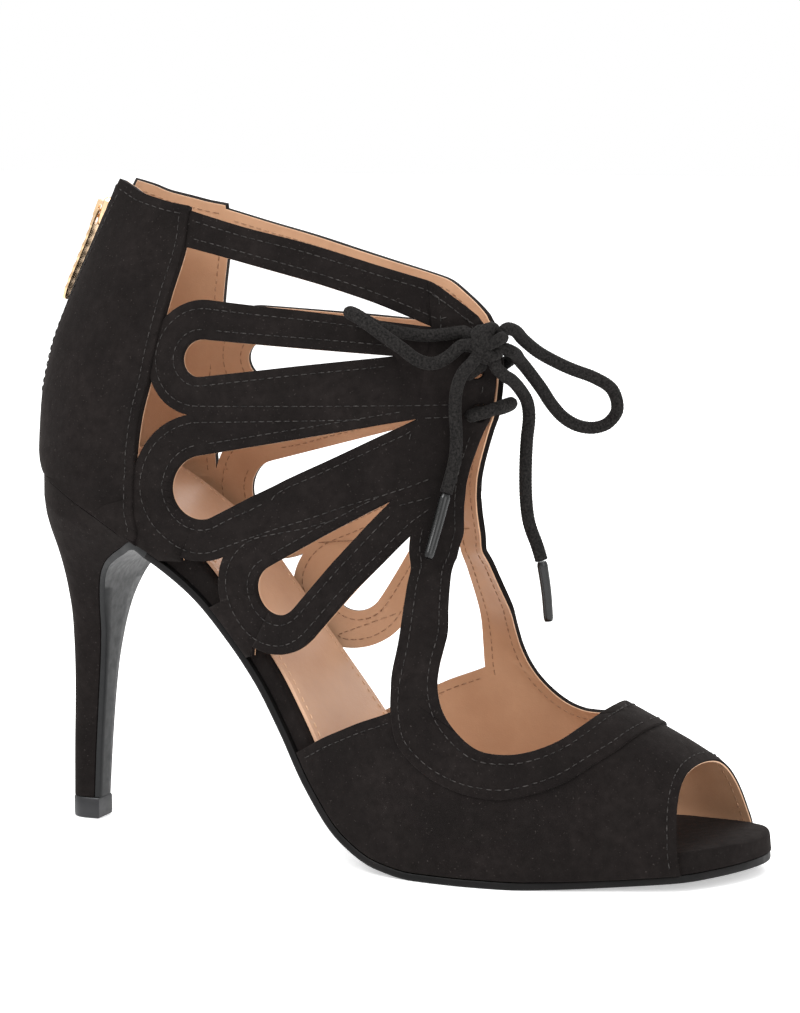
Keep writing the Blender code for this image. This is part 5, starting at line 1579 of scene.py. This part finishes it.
def frames(route):
    """Two directions across a route, carried along it without twist."""
    route = np.array(route)
    t = np.gradient(route, axis=0)
    t /= np.linalg.norm(t, axis=1)[:, None]
    n = np.cross(t[0], (0.0, 0.0, 1.0))
    if np.linalg.norm(n) < 0.1:
        n = np.cross(t[0], (0.0, 1.0, 0.0))
    out = []
    for d in t:
        n = unit(n - np.dot(n, d) * d)
        out.append((n, np.cross(d, n)))
    return out


AROUND = 20
STRANDS = 8
BRAID = 1.9 * MM
BRAID_DEPTH = 0.05
CORD_STEP = 0.32 * MM
TIP_STEP = 0.5 * MM
TIP_CRIMP = 0.8 * MM


def tube(route, radius_at, points, faces):
    """A tube along a route; its radius depends on the point's number and the angle round it."""
    rings = []
    for i, (p, (n, b)) in enumerate(zip(route, frames(route))):
        rings.append([p + radius_at(i, a) * (math.cos(a) * n + math.sin(a) * b)
                      for a in [2 * math.pi * k / AROUND for k in range(AROUND)]])
    add_rings(rings, points, faces)


def cord_mesh(route, radius, points, faces):
    """A tube whose strands cross over and under each other."""
    length = run_length(route)

    def braided(i, a):
        turn = 2 * math.pi * length[i] / BRAID
        over = math.cos(STRANDS / 2 * a + turn) * math.cos(STRANDS / 2 * a - turn)
        return radius * (1.0 - BRAID_DEPTH + BRAID_DEPTH * over)

    tube(route, braided, points, faces)


def dense(points, spacing):
    """A route in metres through points in millimetres, evenly spaced."""
    points = np.array(points) / 1000
    length = run_length(points)
    fine = np.array(through(points, length, np.linspace(0, length[-1], 600)))
    run = run_length(fine)
    places = np.linspace(0, run[-1], max(int(run[-1] / spacing), 4) + 1)
    return np.column_stack([np.interp(places, run, fine[:, c]) for c in range(3)]), run[-1]


def lace(name, route_points, node_names):
    route, length = dense(route_points, CORD_STEP)
    points, faces = [], []
    cord_mesh(route, LACE / 2, points, faces)
    obj = shown(name, points, faces, "cord", "cord_black", node_names, 80)
    return obj, route, length


def tip(name, route_points, node_name):
    """A hard tip: a smooth tube crimped at its two ends."""
    route, _ = dense(route_points, TIP_STEP)
    points, faces = [], []
    steps = len(route) - 1

    def crimped(i, _):
        t = i / steps
        end = min(t, 1 - t) * steps * TIP_STEP
        return AGLET / 2 * (0.80 + 0.20 * min(end / TIP_CRIMP, 1.0)) * (1.0 - 0.10 * t)

    tube(route, crimped, points, faces)
    return shown(name, points, faces, "aglet", "aglet_black", (node_name,), 40)


def build_laces():
    def hole(place, side):
        centre, n = last_point(*place, side), surface_normal(*place, side)
        return [tuple((centre + n * d) * 1000) for d in (-3.6 * MM, -1.2 * MM, 0.6 * MM)]

    upper, lower = LACE_HOLES
    for name, points in BARS.items():
        side = 1 if name.endswith("far") else -1
        if name == "lace_bar":
            route = hole(lower, -1) + list(points) + hole(lower, 1)[::-1]
        else:
            route = hole(upper, side) + routed(name, points)
        lace(name + "_braid", route, (name,))
    for name in ("aglet_near", "aglet_far"):
        tip(name + "_tip", CORDS[name], name)
    for name in ("lace_loop_near", "lace_loop_far", "lace_end_far", "lace_end_near"):
        obj, route, length = lace(name + "_braid", routed(name, CORDS[name]), (name,))


def build_knot():
    """The knot: laces wrapped over each other round the middle."""
    centre = np.array(KNOT_PLACE)
    points, faces = [], []
    # Each wrap: two directions of its ring, its two radii and its wave, in millimetres
    wraps = (((0.45, 0.0, 1.0), (0.2, 1.0, 0.0), 4.2, 2.7, 0.6),
             ((0.15, 0.1, 1.0), (0.5, 0.9, 0.0), 4.0, 2.8, -0.6),
             ((1.0, 0.0, 0.30), (0.0, 1.0, 0.1), 4.5, 2.5, 0.3),
             ((-0.6, 0.1, 0.9), (0.5, 0.9, 0.2), 3.9, 2.6, 0.4))
    for u, v, a, b, lift in wraps:
        u = unit(np.array(u))
        v = unit(np.array(v) - np.dot(v, u) * u)
        w = np.cross(u, v)
        ring = []
        for angle in np.linspace(0, 2 * math.pi, 90):
            ring.append(centre + (a * math.cos(angle) * u + b * math.sin(angle) * v) * MM
                        + w * lift * MM * math.cos(2 * angle))
        cord_mesh(ring, LACE / 2 * 0.95, points, faces)
    for name, exits in KNOT_EXITS.items():
        for direction in exits:
            if direction:
                n = unit(np.array(direction))
                last = np.array(knot_exit(direction)[1]) * MM
                reach = last - n * 1.0 * MM - centre
                route = [centre + reach * t for t in np.linspace(0.3, 1, 24)]
                cord_mesh(route, LACE / 2 * 0.99, points, faces)
    shown("lace_knot_wraps", points, faces, "cord", "cord_black", ("lace_knot",), 80)


build_laces()
build_knot()


# Camera, floor and light

def look_from(obj, place, target):
    obj.location = place
    obj.rotation_euler = (Vector(target) - Vector(place)).to_track_quat("-Z", "Y").to_euler()


CAMERA_PLACE = (0.3978, -0.7488, 0.1979)
CAMERA_TARGET = (0.0959, -0.0013, 0.0937)
CAMERA_LENS = 107.04
camera = bpy.data.objects.new("camera", bpy.data.cameras.new("camera"))
bpy.context.collection.objects.link(camera)
look_from(camera, CAMERA_PLACE, CAMERA_TARGET)
camera.data.lens = CAMERA_LENS
camera.data.sensor_width = 36.0
camera.data.clip_start = 0.01
bpy.context.scene.camera = camera


def light(name, place, target, size, power):
    data = bpy.data.lights.new(name, "AREA")
    data.shape = "DISK"
    data.size = size
    data.energy = power
    obj = bpy.data.objects.new(name, data)
    bpy.context.collection.objects.link(obj)
    look_from(obj, place, target)


MIDDLE = (0.09, 0.0, 0.08)
# Each light: its place, the width of its disc and its power in watts
for light_name, light_place, light_size, light_power in (
        ("key", (-0.35, -0.85, 1.15), 0.7, 11), ("fill", (1.0, -0.75, 0.55), 0.9, 4),
        ("back", (0.1, 1.1, 0.9), 0.9, 5), ("top", (0.1, 0.0, 1.3), 1.2, 4)):
    light(light_name, light_place, MIDDLE, light_size, light_power)

FLOOR = 9
floor_mesh = bpy.data.meshes.new("floor")
floor_mesh.from_pydata([(-FLOOR, -FLOOR, 0), (FLOOR, -FLOOR, 0), (FLOOR, FLOOR, 0),
                        (-FLOOR, FLOOR, 0)], [], [(0, 1, 2, 3)])
floor = bpy.data.objects.new("floor", floor_mesh)
bpy.context.collection.objects.link(floor)
floor_mat, floor_tree, floor_base, floor_place = shader("pale_floor", 0.6, Specular_IOR_Level=0.2)
floor_tree.links.new(ramp(floor_tree, noise(floor_tree, floor_place, 6.0),
                          (0.3, (0.90, 0.90, 0.90)), (0.7, (0.93, 0.93, 0.93))),
                     floor_base.inputs["Base Color"])
floor_base.inputs["Emission Strength"].default_value = 0.45
floor_base.inputs["Emission Color"].default_value = (1.0, 1.0, 1.0, 1.0)
floor_mesh.materials.append(floor_mat)

bpy.context.scene.view_settings.view_transform = "Standard"
world = bpy.data.worlds.new("studio")
bpy.context.scene.world = world
world.use_nodes = True
background = world.node_tree.nodes["Background"].inputs
background["Color"].default_value = (1.0, 1.0, 1.0, 1.0)
background["Strength"].default_value = 1.0
